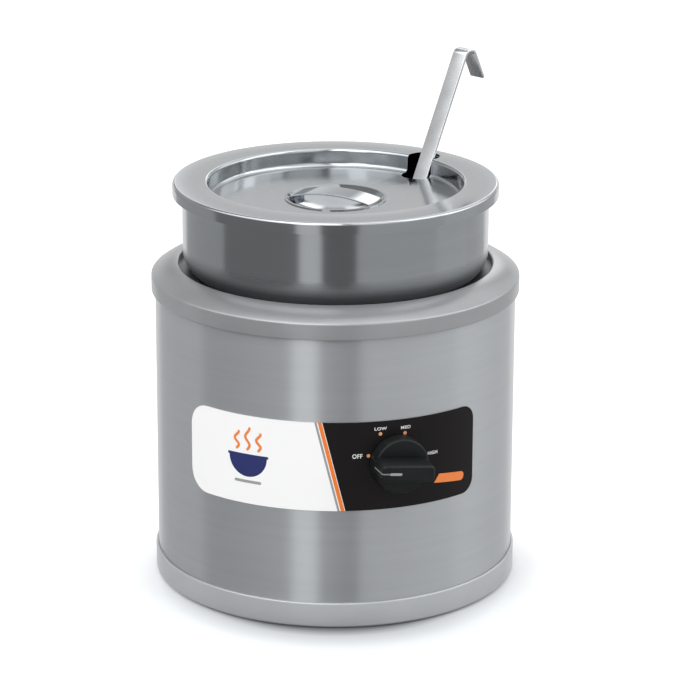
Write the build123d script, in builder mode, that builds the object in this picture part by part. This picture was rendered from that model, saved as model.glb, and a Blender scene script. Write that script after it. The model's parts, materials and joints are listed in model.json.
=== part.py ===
from build123d import *
from math import acos, asin, cos, degrees, radians, sin, sqrt, tan
import os

# Countertop food warmer, in millimetres. +Z is up, the origin is on the axis at the
# surface that it stands on, and the front with the dial faces -Y.

os.makedirs("parts", exist_ok=True)

# Clearances and cutting
fit_gap = 0.1
body_gap = 0.3
running_gap = 0.05
overrun = 2.0

# Shell
shell_wall = 0.9
shell_space = 7.8

# Feet, base plate and base ring
foot_height = 8.0
foot_radius = 13.0
foot_edge = 1.5
foot_inset = 36.7
foot_number = 4
foot_angle = 45
foot_recess = 4.5
plate_thickness = 1.2
plate_margin = 4.0
vent_radius = 3.0
vent_distance = 60.0
vent_number = 12
base_ring_wall = 2.2
base_ring_lift = 1.5
base_ring_height = 22.0
base_ring_edge = 0.9
ledge_width = 10.8
ledge_thickness = 2.8

# Top ring
ring_wall = 3.2
ring_skirt = 8.2
ring_band = 7.2
shoulder_in = 1.6
shoulder_up = 4.8
dome_rise = 12.4
ring_lip = 6.2
ring_lip_edge = 1.0
well_show = 13.3
clamp_width = 12.2
ring_seat = 1.5

# Well and the bay under it
bay_height = 102.8
well_gap = 2.5
well_wall = 1.0
well_depth = 165.0
well_corner = 12.0
mouth_bend = 3.0
flange_margin = 1.0

# Tie rods and nuts
rod_radius = 2.5
rod_inset = 6.7
rod_thread = 3.0
rod_number = 3
rod_angle = 10
rod_nut_flat = 8.0
rod_nut_height = 4.0
rod_tail = 1.0

# Heating element, its shield and the shield's fixing
element_radius = 4.0
element_inset = 24.0
element_gap_angle = 40
leg_radius = 3.2
leg_length = 24.0
pin_radius = 1.6
pin_length = 8.0
shield_inset = 13.0
shield_wall = 1.0
shield_cover_inset = 7.5
shield_cover_thickness = 10.0
stud_radius = 3.0
stud_tail = 2.0
washer_radius = 20.0
washer_thickness = 1.2
shield_nut_flat = 10.0
shield_nut_height = 5.0

# Insulation round the well
wrap_thickness = 12.0
wrap_top_gap = 7.0
wrap_bottom_gap = 1.0
wrap_window_margin = 8.0

# Sensor bulb, its clip and the capillary tube
bulb_radius = 3.0
bulb_length = 60.0
bulb_inset = 35.0
clip_wall = 1.0
clip_length = 14.0
clip_foot = 5.0
capillary_radius = 1.2
capillary_bend = 5.0
capillary_drop = 14.0

# Dial, thermostat and knob
dial_azimuth = 19.5
dial_rise = 37.0
bushing_radius = 4.8
shaft_radius = 3.0
shaft_flat = 0.8
dial_screw_spacing = 28.0
dial_screw_radius = 1.9
dial_screw_head_radius = 3.5
dial_screw_head_height = 2.0
dial_screw_grip = 7.0
mount_width = 54.0
mount_height = 44.0
mount_depth = 4.5
thermostat_width = 40.0
thermostat_height = 38.0
thermostat_depth = 24.0
thermostat_edge = 1.5
tab_width = 6.3
tab_thickness = 0.8
tab_length = 8.0
tab_spacing = 24.0
tab_inset = 13.0
capillary_inset = 7.0
knob_gap = 0.8
knob_tilt = 6.5
skirt_radius = 24.7
skirt_depth = 12.8
skirt_edge = 1.6
knob_depth = 32.4
grip_tip = 25.2
grip_heel = 22.4
grip_rear_width = 18.0
grip_front_width = 14.0
grip_edge = 1.8
knob_hollow_radius = 20.5
knob_hollow_depth = 5.0
hub_radius = 7.0
knob_bore_depth = 21.0
pointer_width = 1.8
pointer_depth = 0.4
pointer_proud = 0.15
pointer_reach = 18.0
pointer_inset = 1.5

# Faceplate
plate_start_azimuth = -50.3
plate_end_azimuth = 48.3
panel_drop = 41.4
panel_height = 79.0
panel_thickness = 0.5
panel_glue = 0.2
panel_left_corner = 20.0
panel_right_corner = 13.0

# Cord gland, terminal block, ground screw and wires
gland_rise = 35.8
gland_flange_radius = 11.0
gland_flange = 2.5
gland_barrel_radius = 8.0
gland_bore_radius = 4.2
gland_inner_length = 8.0
block_width = 44.0
block_depth = 18.0
block_height = 18.0
block_inset = 56.7
block_entry_radius = 2.6
block_entry_depth = 5.0
block_pitch = 12.0
block_screw_spacing = 36.0
screw_radius = 1.9
screw_head_radius = 3.6
screw_head_height = 2.4
screw_tail = 2.4
foot_nut_flat = 7.0
foot_nut_height = 3.2
ground_gap = 30.0
ground_step = 6.0
wire_radius = 1.5
wire_bend = 8.0
ground_wire_ratio = 0.22
neutral_wire_ratio = 0.40
element_wire_ratio = 0.54
live_wire_ratio = 0.68
capillary_ratio = 0.86

# Inset pot
pot_radius = 134.2
pot_wall = 0.9
shoulder_step = 12.2
water_depth = 24.1
pot_upper_height = 58.4
pot_corner = 20.0
shoulder_radius = 24.0
shoulder_slope = 55.0
shoulder_bend = 2.0
rim_reach = 6.3
rim_lip = 4.5
rim_bend = 1.6

# Cover
cover_wall = 1.2
cover_lip = 10.4
cover_edge = 2.8
rim_clearance = 1.0
recess_inset = 22.7
recess_depth = 16.0
recess_draft = 1.0
recess_floor_bend = 4.0
recess_edge = 3.2
notch_angle = 47.4
notch_inset = 4.2
notch_radius = 14.0
notch_length = 9.7

# Handle cup and strap
cup_radius = 43.0
cup_flange = 1.9
cup_depth = 13.0
cup_wall = 0.8
strap_angle = -24
strap_width = 26.0
strap_thickness = 1.6
strap_rise = 4.5
strap_end_drop = 2.5
strap_edge = 0.5

# Ladle
ladle_angle = 45
ladle_lean = 25.3
handle_inset = 5.1
handle_width = 16.0
handle_thickness = 2.5
handle_edge = 0.6
hook_height = 92.4
hook_flat = 10.5
hook_leg = 31.0
hook_open = 25.7
hook_bend = 7.2
bowl_sphere = 42.7
bowl_depth = 35.0
bowl_wall = 1.0
bowl_rim = 0.4
tail_angle = 36
rivet_radius = 1.6
rivet_head_radius = 3.4
rivet_head_height = 1.0
rivet_seat = 0.15
rivet_first_angle = 18
rivet_pitch_angle = 13

# Heights that follow from the sizes above
plate_bottom = foot_height
ledge_bottom = plate_bottom + plate_thickness
shell_bottom = ledge_bottom + ledge_thickness
well_bottom = ledge_bottom + bay_height
well_floor = well_bottom + well_wall
flange_top = well_floor + well_depth
flange_bottom = flange_top - well_wall
ring_top = flange_top + ring_lip
shoulder_top = ring_top - dome_rise
band_top = shoulder_top - shoulder_up
ring_bottom = band_top - ring_band
shell_top = ring_bottom + ring_skirt
shell_height = shell_top - shell_bottom
dial_height = well_bottom + dial_rise
panel_bottom = dial_height - panel_drop
gland_height = ledge_bottom + gland_rise
element_height = well_bottom - fit_gap - element_radius
shield_top = element_height - element_radius - fit_gap
shield_bottom = shield_top - shield_wall
cover_insulation_bottom = shield_bottom - shield_cover_thickness
washer_bottom = cover_insulation_bottom - washer_thickness
shield_nut_bottom = washer_bottom - shield_nut_height
stud_bottom = shield_nut_bottom - stud_tail
leg_bottom = element_height - leg_length
pin_bottom = leg_bottom - pin_length

# Radii and places that follow, from the pot outwards
pot_lower_radius = pot_radius - shoulder_step
well_radius = pot_lower_radius + well_gap
ring_opening = well_radius + well_show
rod_distance = ring_opening + rod_inset
clamp_outer = ring_opening + clamp_width
flange_radius = clamp_outer - flange_margin
shell_inner = clamp_outer + shell_space
shell_radius = shell_inner + shell_wall
skirt_inner = shell_radius + fit_gap
ring_radius = skirt_inner + ring_wall
base_ring_radius = skirt_inner + base_ring_wall
plate_radius = shell_radius - plate_margin
foot_distance = plate_radius - foot_inset
shield_radius = well_radius - shield_inset
shield_cover_radius = shield_radius - shield_cover_inset
element_distance = shield_cover_radius - element_inset
bulb_place = element_distance - bulb_inset
wrap_inner = well_radius + well_wall + body_gap
wrap_outer = wrap_inner + wrap_thickness
wrap_bottom = well_bottom + wrap_bottom_gap
wrap_height = flange_bottom - wrap_top_gap - wrap_bottom
panel_back = shell_radius + panel_glue
panel_radius = panel_back + panel_thickness
mount_back = shell_inner - mount_depth
thermostat_back = mount_back - thermostat_depth
knob_back = panel_radius + knob_gap
knob_front = knob_back + knob_depth
skirt_front = knob_back + skirt_depth
tab_top = dial_height - thermostat_height / 2
tab_bottom = tab_top - tab_length
tab_out = mount_back - tab_inset
capillary_out = mount_back - capillary_inset
block_place = plate_radius - block_inset
block_top = ledge_bottom + block_height
ground_x = block_width / 2 + ground_gap
ground_y = block_place - ground_step
wire_space = stud_bottom - block_top

# The pot hangs by its shoulder on the well's rounded mouth
seat_reach = shoulder_radius + mouth_bend + body_gap
seat_offset = well_radius + mouth_bend - (pot_radius - shoulder_radius)
shoulder_height = flange_top - mouth_bend + sqrt(seat_reach**2 - seat_offset**2)
slope = radians(shoulder_slope)
shoulder_corner = shoulder_height - shoulder_radius * tan(slope / 2)
crease_height = shoulder_corner - (pot_radius - pot_lower_radius) / tan(slope)
pot_bottom = well_floor + water_depth
pot_floor = pot_bottom + pot_wall
pot_top = shoulder_height + pot_upper_height
pot_rim_radius = pot_radius + rim_reach
cover_radius = pot_rim_radius + rim_clearance + cover_wall
recess_radius = pot_radius - recess_inset
cover_top = pot_top + body_gap + cover_wall
cover_floor = cover_top - recess_depth

# The cup's sphere, from its radius and depth
cup_sphere = (cup_radius**2 + cup_depth**2) / (2 * cup_depth)
cup_centre = cover_floor - cup_depth + cup_sphere

# The ladle leans out in one upright plane; its bowl stands on the pot's floor
lean = radians(ladle_lean)
bowl_outer = bowl_sphere + bowl_wall
bowl_height = pot_floor + body_gap + bowl_outer
handle_distance = recess_radius - handle_inset
handle_inside = bowl_outer + running_gap
tangent_height = bowl_height - handle_inside * sin(lean)
tangent_place = handle_distance - (cover_floor - tangent_height) * tan(lean)
bowl_place = tangent_place - handle_inside * cos(lean)
rim_height = bowl_sphere - bowl_depth
hook_top = cover_top + hook_height
hook_corner = handle_distance + (hook_top - cover_floor) * tan(lean)
hook_angle = radians(hook_open)


def radial_plane(angle):
    """Upright plane through the axis: x runs outward at the angle, y runs up."""
    turn = radians(angle)
    return Plane(origin=(0, 0, 0), x_dir=(cos(turn), sin(turn), 0), z_dir=(sin(turn), -cos(turn), 0))


def polar_places(radius, number, first):
    """Places evenly spaced round the axis."""
    turns = [radians(first + 360 * index / number) for index in range(number)]
    return [(radius * cos(turn), radius * sin(turn)) for turn in turns]


def add_columns(plane, places, radius, height, mode=Mode.ADD):
    """Round columns that stand on a plane."""
    with BuildSketch(plane) as outline:
        with Locations(*places):
            Circle(radius)
    extrude(outline.sketch, amount=height, mode=mode)


def add_nuts(plane, places, flat, hole, height):
    """Hexagon nuts that lie on a plane."""
    with BuildSketch(plane) as outline:
        with Locations(*places):
            RegularPolygon(radius=flat / 2, side_count=6, major_radius=False)
            Circle(hole, mode=Mode.SUBTRACT)
    extrude(outline.sketch, amount=height)


def add_wire(points, radius, bend):
    """A round wire along straight runs joined by arcs."""
    with BuildLine() as route:
        FilletPolyline(*points, radius=bend)
    with BuildSketch(Plane(origin=route.line @ 0, z_dir=route.line % 0)) as outline:
        Circle(radius)
    sweep(outline.sketch, path=route.line)


# Planes and places of the dial, as seen from the front
dial_turn = radians(dial_azimuth)
dial_out = Vector(sin(dial_turn), -cos(dial_turn), 0)
dial_across = Vector(cos(dial_turn), sin(dial_turn), 0)
dial_plane = Plane(origin=(0, 0, dial_height), x_dir=dial_across, z_dir=dial_out)
dial_axis = Axis((0, 0, dial_height), dial_out)
knob_across = dial_across * cos(radians(knob_tilt)) - Vector(0, 0, sin(radians(knob_tilt)))
knob_plane = Plane(origin=(0, 0, dial_height), x_dir=knob_across, z_dir=dial_out)
dial_screw_places = [(-dial_screw_spacing / 2, 0), (dial_screw_spacing / 2, 0)]


def dial_point(across, height, out):
    """A point given beside the dial's axis, at a height above the floor and outward."""
    return dial_across * across + dial_out * out + Vector(0, 0, height)


def cut_dial_holes():
    """Holes for the thermostat's bushing and screws, through what lies in front of it."""
    reach = shell_radius + overrun - mount_back + overrun
    front = dial_plane.offset(mount_back - overrun)
    add_columns(front, [(0, 0)], bushing_radius + fit_gap, reach, Mode.SUBTRACT)
    add_columns(front, dial_screw_places, dial_screw_radius + fit_gap, reach, Mode.SUBTRACT)


def round_panel_end(azimuth, side, corner):
    """Round both corners at one end of the curved panel."""
    turn = radians(azimuth - 90)
    end = (shell_radius * cos(turn), shell_radius * sin(turn), panel_bottom + panel_height / 2)
    end_plane = Plane(origin=end, x_dir=(-sin(turn), cos(turn), 0), z_dir=(cos(turn), sin(turn), 0))
    with BuildSketch(end_plane) as outline:
        Rectangle(2 * corner, panel_height + 2 * overrun)
        with Locations((side * panel_height, 0)):
            RectangleRounded(2 * panel_height, panel_height, corner, mode=Mode.SUBTRACT)
    extrude(outline.sketch, amount=2 * overrun, both=True, mode=Mode.SUBTRACT)


foot_places = polar_places(foot_distance, foot_number, foot_angle)
rod_places = polar_places(rod_distance, rod_number, rod_angle)
vent_places = polar_places(vent_distance, vent_number, 0)
block_screw_places = [(-block_screw_spacing / 2, block_place), (block_screw_spacing / 2, block_place)]
ground_place = (ground_x, ground_y)
element_half = 180 - element_gap_angle / 2
leg_turn = radians(element_half) - 2 * leg_radius / element_distance
leg_places = [(element_distance * cos(side * leg_turn), element_distance * sin(side * leg_turn)) for side in (-1, 1)]

# Outer shell
with BuildPart() as outer_shell:
    with BuildSketch(Plane.XY.offset(shell_bottom)):
        Circle(shell_radius)
        Circle(shell_inner, mode=Mode.SUBTRACT)
    extrude(amount=shell_height)
    cut_dial_holes()
    with BuildSketch(Plane.XZ.offset(-shell_radius - overrun)):
        with Locations((0, gland_height)):
            Circle(gland_barrel_radius + fit_gap)
    extrude(amount=shell_wall + 2 * overrun, mode=Mode.SUBTRACT)
outer_shell.part.label = "outer_shell"
export_step(outer_shell.part, "parts/outer_shell.step")

# Top ring
with BuildPart() as top_ring:
    with BuildSketch(Plane.XZ) as ring_section:
        with BuildLine():
            band = Line((ring_radius, ring_bottom), (ring_radius, band_top))
            shoulder = TangentArc(band @ 1, (ring_radius - shoulder_in, shoulder_top), tangent=band % 1)
            dome = TangentArc(shoulder @ 1, (ring_opening, ring_top), tangent=shoulder % 1)
            Polyline(
                dome @ 1,
                (ring_opening, flange_top),
                (clamp_outer, flange_top),
                (shell_inner - ring_seat, shell_top),
                (skirt_inner, shell_top),
                (skirt_inner, ring_bottom),
                band @ 0,
            )
        make_face()
        fillet(ring_section.vertices().group_by(Axis.Y)[-1], ring_lip_edge)
    revolve(axis=Axis.Z)
    add_columns(Plane.XY.offset(flange_top), rod_places, rod_radius + fit_gap, rod_thread, Mode.SUBTRACT)
top_ring.part.label = "top_ring"
export_step(top_ring.part, "parts/top_ring.step")

# Base ring
with BuildPart() as base_ring:
    with BuildSketch(Plane.XZ) as base_section:
        with Locations((skirt_inner, base_ring_lift)):
            Rectangle(base_ring_wall, base_ring_height, align=(Align.MIN, Align.MIN))
        with Locations((base_ring_radius, ledge_bottom)):
            Rectangle(ledge_width + base_ring_wall, ledge_thickness, align=(Align.MAX, Align.MIN))
        fillet(base_section.vertices().group_by(Axis.X)[-1], base_ring_edge)
    revolve(axis=Axis.Z)
base_ring.part.label = "base_ring"
export_step(base_ring.part, "parts/base_ring.step")

# Base plate
with BuildPart() as base_plate:
    with BuildSketch(Plane.XY.offset(plate_bottom)):
        Circle(plate_radius)
        with Locations(*vent_places):
            Circle(vent_radius, mode=Mode.SUBTRACT)
        with Locations(*rod_places):
            Circle(rod_radius + fit_gap, mode=Mode.SUBTRACT)
        with Locations(*foot_places, *block_screw_places, ground_place):
            Circle(screw_radius + fit_gap, mode=Mode.SUBTRACT)
    extrude(amount=plate_thickness)
base_plate.part.label = "base_plate"
export_step(base_plate.part, "parts/base_plate.step")

# Rubber feet
with BuildPart() as rubber_feet:
    add_columns(Plane.XY, foot_places, foot_radius, foot_height)
    chamfer(rubber_feet.edges().group_by(Axis.Z)[0], foot_edge)
    add_columns(Plane.XY, foot_places, screw_head_radius + overrun, foot_recess, Mode.SUBTRACT)
    add_columns(Plane.XY, foot_places, screw_radius + fit_gap, foot_height, Mode.SUBTRACT)
rubber_feet.part.label = "rubber_feet"
export_step(rubber_feet.part, "parts/rubber_feet.step")

# Foot screws, their heads up in the feet's recesses
with BuildPart() as foot_screws:
    foot_head = Plane.XY.offset(foot_recess - screw_head_height)
    foot_shank = foot_height - foot_recess + plate_thickness + foot_nut_height + screw_head_height
    add_columns(foot_head, foot_places, screw_head_radius, screw_head_height)
    add_columns(foot_head, foot_places, screw_radius, foot_shank)
foot_screws.part.label = "foot_screws"
export_step(foot_screws.part, "parts/foot_screws.step")

# Foot nuts
with BuildPart() as foot_nuts:
    add_nuts(Plane.XY.offset(ledge_bottom), foot_places, foot_nut_flat, screw_radius, foot_nut_height)
foot_nuts.part.label = "foot_nuts"
export_step(foot_nuts.part, "parts/foot_nuts.step")

# Well liner
with BuildPart() as well_liner:
    with BuildSketch(Plane.XZ):
        with BuildLine():
            FilletPolyline(
                (0, well_floor),
                (well_radius, well_floor),
                (well_radius, flange_top),
                (flange_radius, flange_top),
                radius=[well_corner, mouth_bend],
            )
            offset(amount=well_wall, side=Side.RIGHT)
        make_face()
    revolve(axis=Axis.Z)
    add_columns(Plane.XY.offset(flange_bottom), rod_places, rod_radius + fit_gap, well_wall, Mode.SUBTRACT)
well_liner.part.label = "well_liner"
export_step(well_liner.part, "parts/well_liner.step")

# Tie rods from the top ring down through the base plate
with BuildPart() as tie_rods:
    rod_bottom = plate_bottom - rod_nut_height - rod_tail
    rod_length = flange_top + rod_thread - rod_bottom
    add_columns(Plane.XY.offset(rod_bottom), rod_places, rod_radius, rod_length)
tie_rods.part.label = "tie_rods"
export_step(tie_rods.part, "parts/tie_rods.step")

# Nuts under the well's flange
with BuildPart() as flange_nuts:
    flange_nut_plane = Plane.XY.offset(flange_bottom - rod_nut_height)
    add_nuts(flange_nut_plane, rod_places, rod_nut_flat, rod_radius, rod_nut_height)
flange_nuts.part.label = "flange_nuts"
export_step(flange_nuts.part, "parts/flange_nuts.step")

# Nuts under the base plate
with BuildPart() as rod_nuts:
    rod_nut_plane = Plane.XY.offset(plate_bottom - rod_nut_height)
    add_nuts(rod_nut_plane, rod_places, rod_nut_flat, rod_radius, rod_nut_height)
rod_nuts.part.label = "rod_nuts"
export_step(rod_nuts.part, "parts/rod_nuts.step")

# Heating element, a ring with two legs turned down
with BuildPart() as heating_element:
    with BuildSketch(radial_plane(-element_half)):
        with Locations((element_distance, element_height)):
            Circle(element_radius)
    revolve(axis=Axis.Z, revolution_arc=2 * element_half)
    add_columns(Plane.XY.offset(leg_bottom), leg_places, leg_radius, leg_length)
heating_element.part.label = "heating_element"
export_step(heating_element.part, "parts/heating_element.step")

# Element pins
with BuildPart() as element_pins:
    add_columns(Plane.XY.offset(pin_bottom), leg_places, pin_radius, pin_length)
element_pins.part.label = "element_pins"
export_step(element_pins.part, "parts/element_pins.step")

# Heat shield, a shallow pan that presses the element to the well
bulb_end = bulb_length / 2
capillary_x = bulb_end + capillary_drop
with BuildPart() as heat_shield:
    with BuildSketch(Plane.XZ):
        with BuildLine():
            Polyline(
                (0, shield_bottom),
                (shield_radius, shield_bottom),
                (shield_radius, well_bottom - body_gap),
                (shield_radius - shield_wall, well_bottom - body_gap),
                (shield_radius - shield_wall, shield_top),
                (0, shield_top),
                close=True,
            )
        make_face()
    revolve(axis=Axis.Z)
    shield_plane = Plane.XY.offset(shield_bottom)
    add_columns(shield_plane, leg_places, leg_radius + body_gap, shield_wall, Mode.SUBTRACT)
    add_columns(shield_plane, [(0, 0)], stud_radius + fit_gap, shield_wall, Mode.SUBTRACT)
    capillary_place = [(capillary_x, -bulb_place)]
    add_columns(shield_plane, capillary_place, capillary_radius + body_gap, shield_wall, Mode.SUBTRACT)
heat_shield.part.label = "heat_shield"
export_step(heat_shield.part, "parts/heat_shield.step")

# Insulation under the shield
with BuildPart() as shield_insulation:
    with BuildSketch(Plane.XY.offset(cover_insulation_bottom)):
        Circle(shield_cover_radius)
        with Locations(*leg_places):
            Circle(leg_radius + body_gap, mode=Mode.SUBTRACT)
        Circle(stud_radius + fit_gap, mode=Mode.SUBTRACT)
        with Locations(*capillary_place):
            Circle(capillary_radius + body_gap, mode=Mode.SUBTRACT)
    extrude(amount=shield_cover_thickness)
shield_insulation.part.label = "shield_insulation"
export_step(shield_insulation.part, "parts/shield_insulation.step")

# Stud welded under the well
with BuildPart() as shield_stud:
    add_columns(Plane.XY.offset(stud_bottom), [(0, 0)], stud_radius, well_bottom - stud_bottom)
shield_stud.part.label = "shield_stud"
export_step(shield_stud.part, "parts/shield_stud.step")

# Washer and nut on the stud
with BuildPart() as shield_washer:
    with BuildSketch(Plane.XY.offset(washer_bottom)):
        Circle(washer_radius)
        Circle(stud_radius + fit_gap, mode=Mode.SUBTRACT)
    extrude(amount=washer_thickness)
shield_washer.part.label = "shield_washer"
export_step(shield_washer.part, "parts/shield_washer.step")

with BuildPart() as shield_nut:
    add_nuts(Plane.XY.offset(shield_nut_bottom), [(0, 0)], shield_nut_flat, stud_radius, shield_nut_height)
shield_nut.part.label = "shield_nut"
export_step(shield_nut.part, "parts/shield_nut.step")

# Insulation round the well, open behind the thermostat
with BuildPart() as insulation_wrap:
    with BuildSketch(Plane.XY.offset(wrap_bottom)):
        Circle(wrap_outer)
        Circle(wrap_inner, mode=Mode.SUBTRACT)
    extrude(amount=wrap_height)
    window_top = dial_height + thermostat_height / 2 + wrap_window_margin
    window_plane = Plane(origin=(0, 0, wrap_bottom), x_dir=dial_across, z_dir=dial_out)
    with BuildSketch(window_plane.offset(wrap_inner / 2)):
        window_width = thermostat_width + 2 * wrap_window_margin
        Rectangle(window_width, window_top - wrap_bottom, align=(Align.CENTER, Align.MIN))
    extrude(amount=wrap_outer, mode=Mode.SUBTRACT)
insulation_wrap.part.label = "insulation_wrap"
export_step(insulation_wrap.part, "parts/insulation_wrap.step")

# Faceplate, a thin curved panel glued to the shell
with BuildPart() as faceplate:
    with BuildSketch(radial_plane(plate_start_azimuth - 90)):
        with Locations((panel_back, panel_bottom)):
            Rectangle(panel_thickness, panel_height, align=(Align.MIN, Align.MIN))
    revolve(axis=Axis.Z, revolution_arc=plate_end_azimuth - plate_start_azimuth)
    round_panel_end(plate_start_azimuth, 1, panel_left_corner)
    round_panel_end(plate_end_azimuth, -1, panel_right_corner)
    cut_dial_holes()
faceplate.part.label = "faceplate"
export_step(faceplate.part, "parts/faceplate.step")

# Thermostat mount, a pad that fits the shell's curve
with BuildPart() as thermostat_mount:
    with BuildSketch(dial_plane.offset(mount_back)):
        Rectangle(mount_width, mount_height)
    extrude(amount=mount_depth)
    with BuildSketch(Plane.XY.offset(shell_bottom)):
        Circle(shell_inner)
    extrude(amount=shell_height, mode=Mode.INTERSECT)
    cut_dial_holes()
thermostat_mount.part.label = "thermostat_mount"
export_step(thermostat_mount.part, "parts/thermostat_mount.step")

# Thermostat body with its bushing
with BuildPart() as thermostat_body:
    with BuildSketch(dial_plane.offset(thermostat_back)):
        Rectangle(thermostat_width, thermostat_height)
    extrude(amount=thermostat_depth)
    fillet(thermostat_body.edges().filter_by(dial_axis), thermostat_edge)
    add_columns(dial_plane.offset(mount_back), [(0, 0)], bushing_radius, panel_radius - mount_back)
    bore_plane = dial_plane.offset(thermostat_back + thermostat_depth / 2)
    bore_length = panel_radius - thermostat_back
    add_columns(bore_plane, [(0, 0)], shaft_radius + running_gap, bore_length, Mode.SUBTRACT)
    grip_plane = dial_plane.offset(mount_back - dial_screw_grip)
    add_columns(grip_plane, dial_screw_places, dial_screw_radius, dial_screw_grip, Mode.SUBTRACT)
thermostat_body.part.label = "thermostat_body"
export_step(thermostat_body.part, "parts/thermostat_body.step")

# Thermostat screws, their heads behind the knob
screw_seat = sqrt(panel_radius**2 - (dial_screw_spacing / 2 - dial_screw_head_radius) ** 2)
with BuildPart() as thermostat_screws:
    screw_length = screw_seat - mount_back + dial_screw_grip
    add_columns(grip_plane, dial_screw_places, dial_screw_radius, screw_length)
    head_plane = dial_plane.offset(screw_seat)
    add_columns(head_plane, dial_screw_places, dial_screw_head_radius, dial_screw_head_height)
thermostat_screws.part.label = "thermostat_screws"
export_step(thermostat_screws.part, "parts/thermostat_screws.step")

# Thermostat tabs
with BuildPart() as thermostat_tabs:
    tab_plane = Plane(origin=(0, 0, tab_bottom), x_dir=dial_across, z_dir=(0, 0, 1))
    with BuildSketch(tab_plane):
        with Locations((-tab_spacing / 2, -tab_out), (tab_spacing / 2, -tab_out)):
            Rectangle(tab_width, tab_thickness)
    extrude(amount=tab_length)
thermostat_tabs.part.label = "thermostat_tabs"
export_step(thermostat_tabs.part, "parts/thermostat_tabs.step")

# Thermostat shaft with its flat
shaft_back = thermostat_back + thermostat_depth / 2 + body_gap
shaft_end = knob_back + knob_bore_depth - body_gap
with BuildPart() as thermostat_shaft:
    add_columns(dial_plane.offset(shaft_back), [(0, 0)], shaft_radius, shaft_end - shaft_back)
    with BuildSketch(dial_plane.offset(knob_back)):
        with Locations((0, shaft_radius - shaft_flat)):
            Rectangle(2 * shaft_radius, shaft_radius, align=(Align.CENTER, Align.MIN))
    extrude(amount=shaft_end - knob_back, mode=Mode.SUBTRACT)
thermostat_shaft.part.label = "thermostat_shaft"
export_step(thermostat_shaft.part, "parts/thermostat_shaft.step")


def add_pointer(mode):
    """The pointer line down the grip's tip and along its front."""
    tip = -grip_tip - pointer_proud
    line_height = knob_depth + pointer_proud - pointer_inset
    with BuildSketch(knob_plane.offset(knob_front - pointer_depth)) as front_line:
        with Locations((tip, 0)):
            Rectangle(pointer_reach, pointer_width, align=(Align.MIN, Align.CENTER))
    extrude(front_line.sketch, amount=pointer_depth + pointer_proud, mode=mode)
    with BuildSketch(knob_plane.offset(knob_back + pointer_inset)) as end_line:
        with Locations((tip, 0)):
            Rectangle(pointer_depth + pointer_proud, pointer_width, align=(Align.MIN, Align.CENTER))
    extrude(end_line.sketch, amount=line_height, mode=mode)


# Control knob: a round skirt crossed by a tapering grip bar
with BuildPart() as control_knob:
    grip_length = grip_tip + grip_heel
    grip_middle = (grip_heel - grip_tip) / 2
    with BuildSketch(knob_plane.offset(knob_back)):
        with Locations((grip_middle, 0)):
            Rectangle(grip_length, grip_rear_width)
    with BuildSketch(knob_plane.offset(knob_front)):
        with Locations((grip_middle, 0)):
            Rectangle(grip_length, grip_front_width)
    loft()
    front_edges = control_knob.faces().sort_by(dial_axis)[-1].edges()
    fillet(front_edges, grip_edge)
    with BuildSketch(dial_plane.offset(knob_back)):
        Circle(skirt_radius)
    extrude(amount=skirt_depth)
    with BuildSketch(dial_plane.offset(knob_back)):
        Circle(knob_hollow_radius)
        Circle(hub_radius, mode=Mode.SUBTRACT)
    extrude(amount=knob_hollow_depth, mode=Mode.SUBTRACT)
    with BuildSketch(dial_plane.offset(knob_back)) as knob_bore:
        Circle(shaft_radius + fit_gap)
        with Locations((0, shaft_radius - shaft_flat + fit_gap)):
            Rectangle(4 * shaft_radius, 2 * shaft_radius, align=(Align.CENTER, Align.MIN), mode=Mode.SUBTRACT)
    extrude(amount=knob_bore_depth, mode=Mode.SUBTRACT)
    add_pointer(Mode.SUBTRACT)
control_knob.part.label = "control_knob"
export_step(control_knob.part, "parts/control_knob.step")

# Knob pointer
with BuildPart() as knob_pointer:
    add_pointer(Mode.ADD)
knob_pointer.part.label = "knob_pointer"
export_step(knob_pointer.part, "parts/knob_pointer.step")

# Sensor bulb against the well's bottom
bulb_height = well_bottom - fit_gap - bulb_radius
bulb_plane = Plane(origin=(-bulb_end, -bulb_place, bulb_height), x_dir=(0, 1, 0), z_dir=(1, 0, 0))
with BuildPart() as sensor_bulb:
    add_columns(bulb_plane, [(0, 0)], bulb_radius, bulb_length)
sensor_bulb.part.label = "sensor_bulb"
export_step(sensor_bulb.part, "parts/sensor_bulb.step")

# Clip over the bulb, welded to the well
with BuildPart() as bulb_clip:
    clip_half = bulb_radius + fit_gap
    clip_rise = bulb_radius + fit_gap
    with BuildSketch(bulb_plane.offset(bulb_end - clip_length / 2)):
        Circle(clip_half + clip_wall)
        Rectangle(2 * (clip_half + clip_wall), clip_rise, align=(Align.CENTER, Align.MIN))
        with Locations((0, clip_rise)):
            Rectangle(2 * (clip_half + clip_wall + clip_foot), clip_wall, align=(Align.CENTER, Align.MAX))
        Circle(clip_half, mode=Mode.SUBTRACT)
        Rectangle(2 * clip_half, clip_rise, align=(Align.CENTER, Align.MIN), mode=Mode.SUBTRACT)
        with Locations((0, clip_rise)):
            Rectangle(4 * clip_half, 2 * clip_wall, align=(Align.CENTER, Align.MIN), mode=Mode.SUBTRACT)
    extrude(amount=clip_length)
bulb_clip.part.label = "bulb_clip"
export_step(bulb_clip.part, "parts/bulb_clip.step")

# Capillary tube from the bulb to the thermostat's underside
capillary_low = block_top + capillary_ratio * wire_space
with BuildPart() as capillary_tube:
    capillary_end = dial_point(0, tab_top, capillary_out)
    add_wire(
        [
            (bulb_end, -bulb_place, bulb_height),
            (capillary_x, -bulb_place, bulb_height),
            (capillary_x, -bulb_place, capillary_low),
            (capillary_end.X, capillary_end.Y, capillary_low),
            capillary_end,
        ],
        capillary_radius,
        capillary_bend,
    )
capillary_tube.part.label = "capillary_tube"
export_step(capillary_tube.part, "parts/capillary_tube.step")

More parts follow.
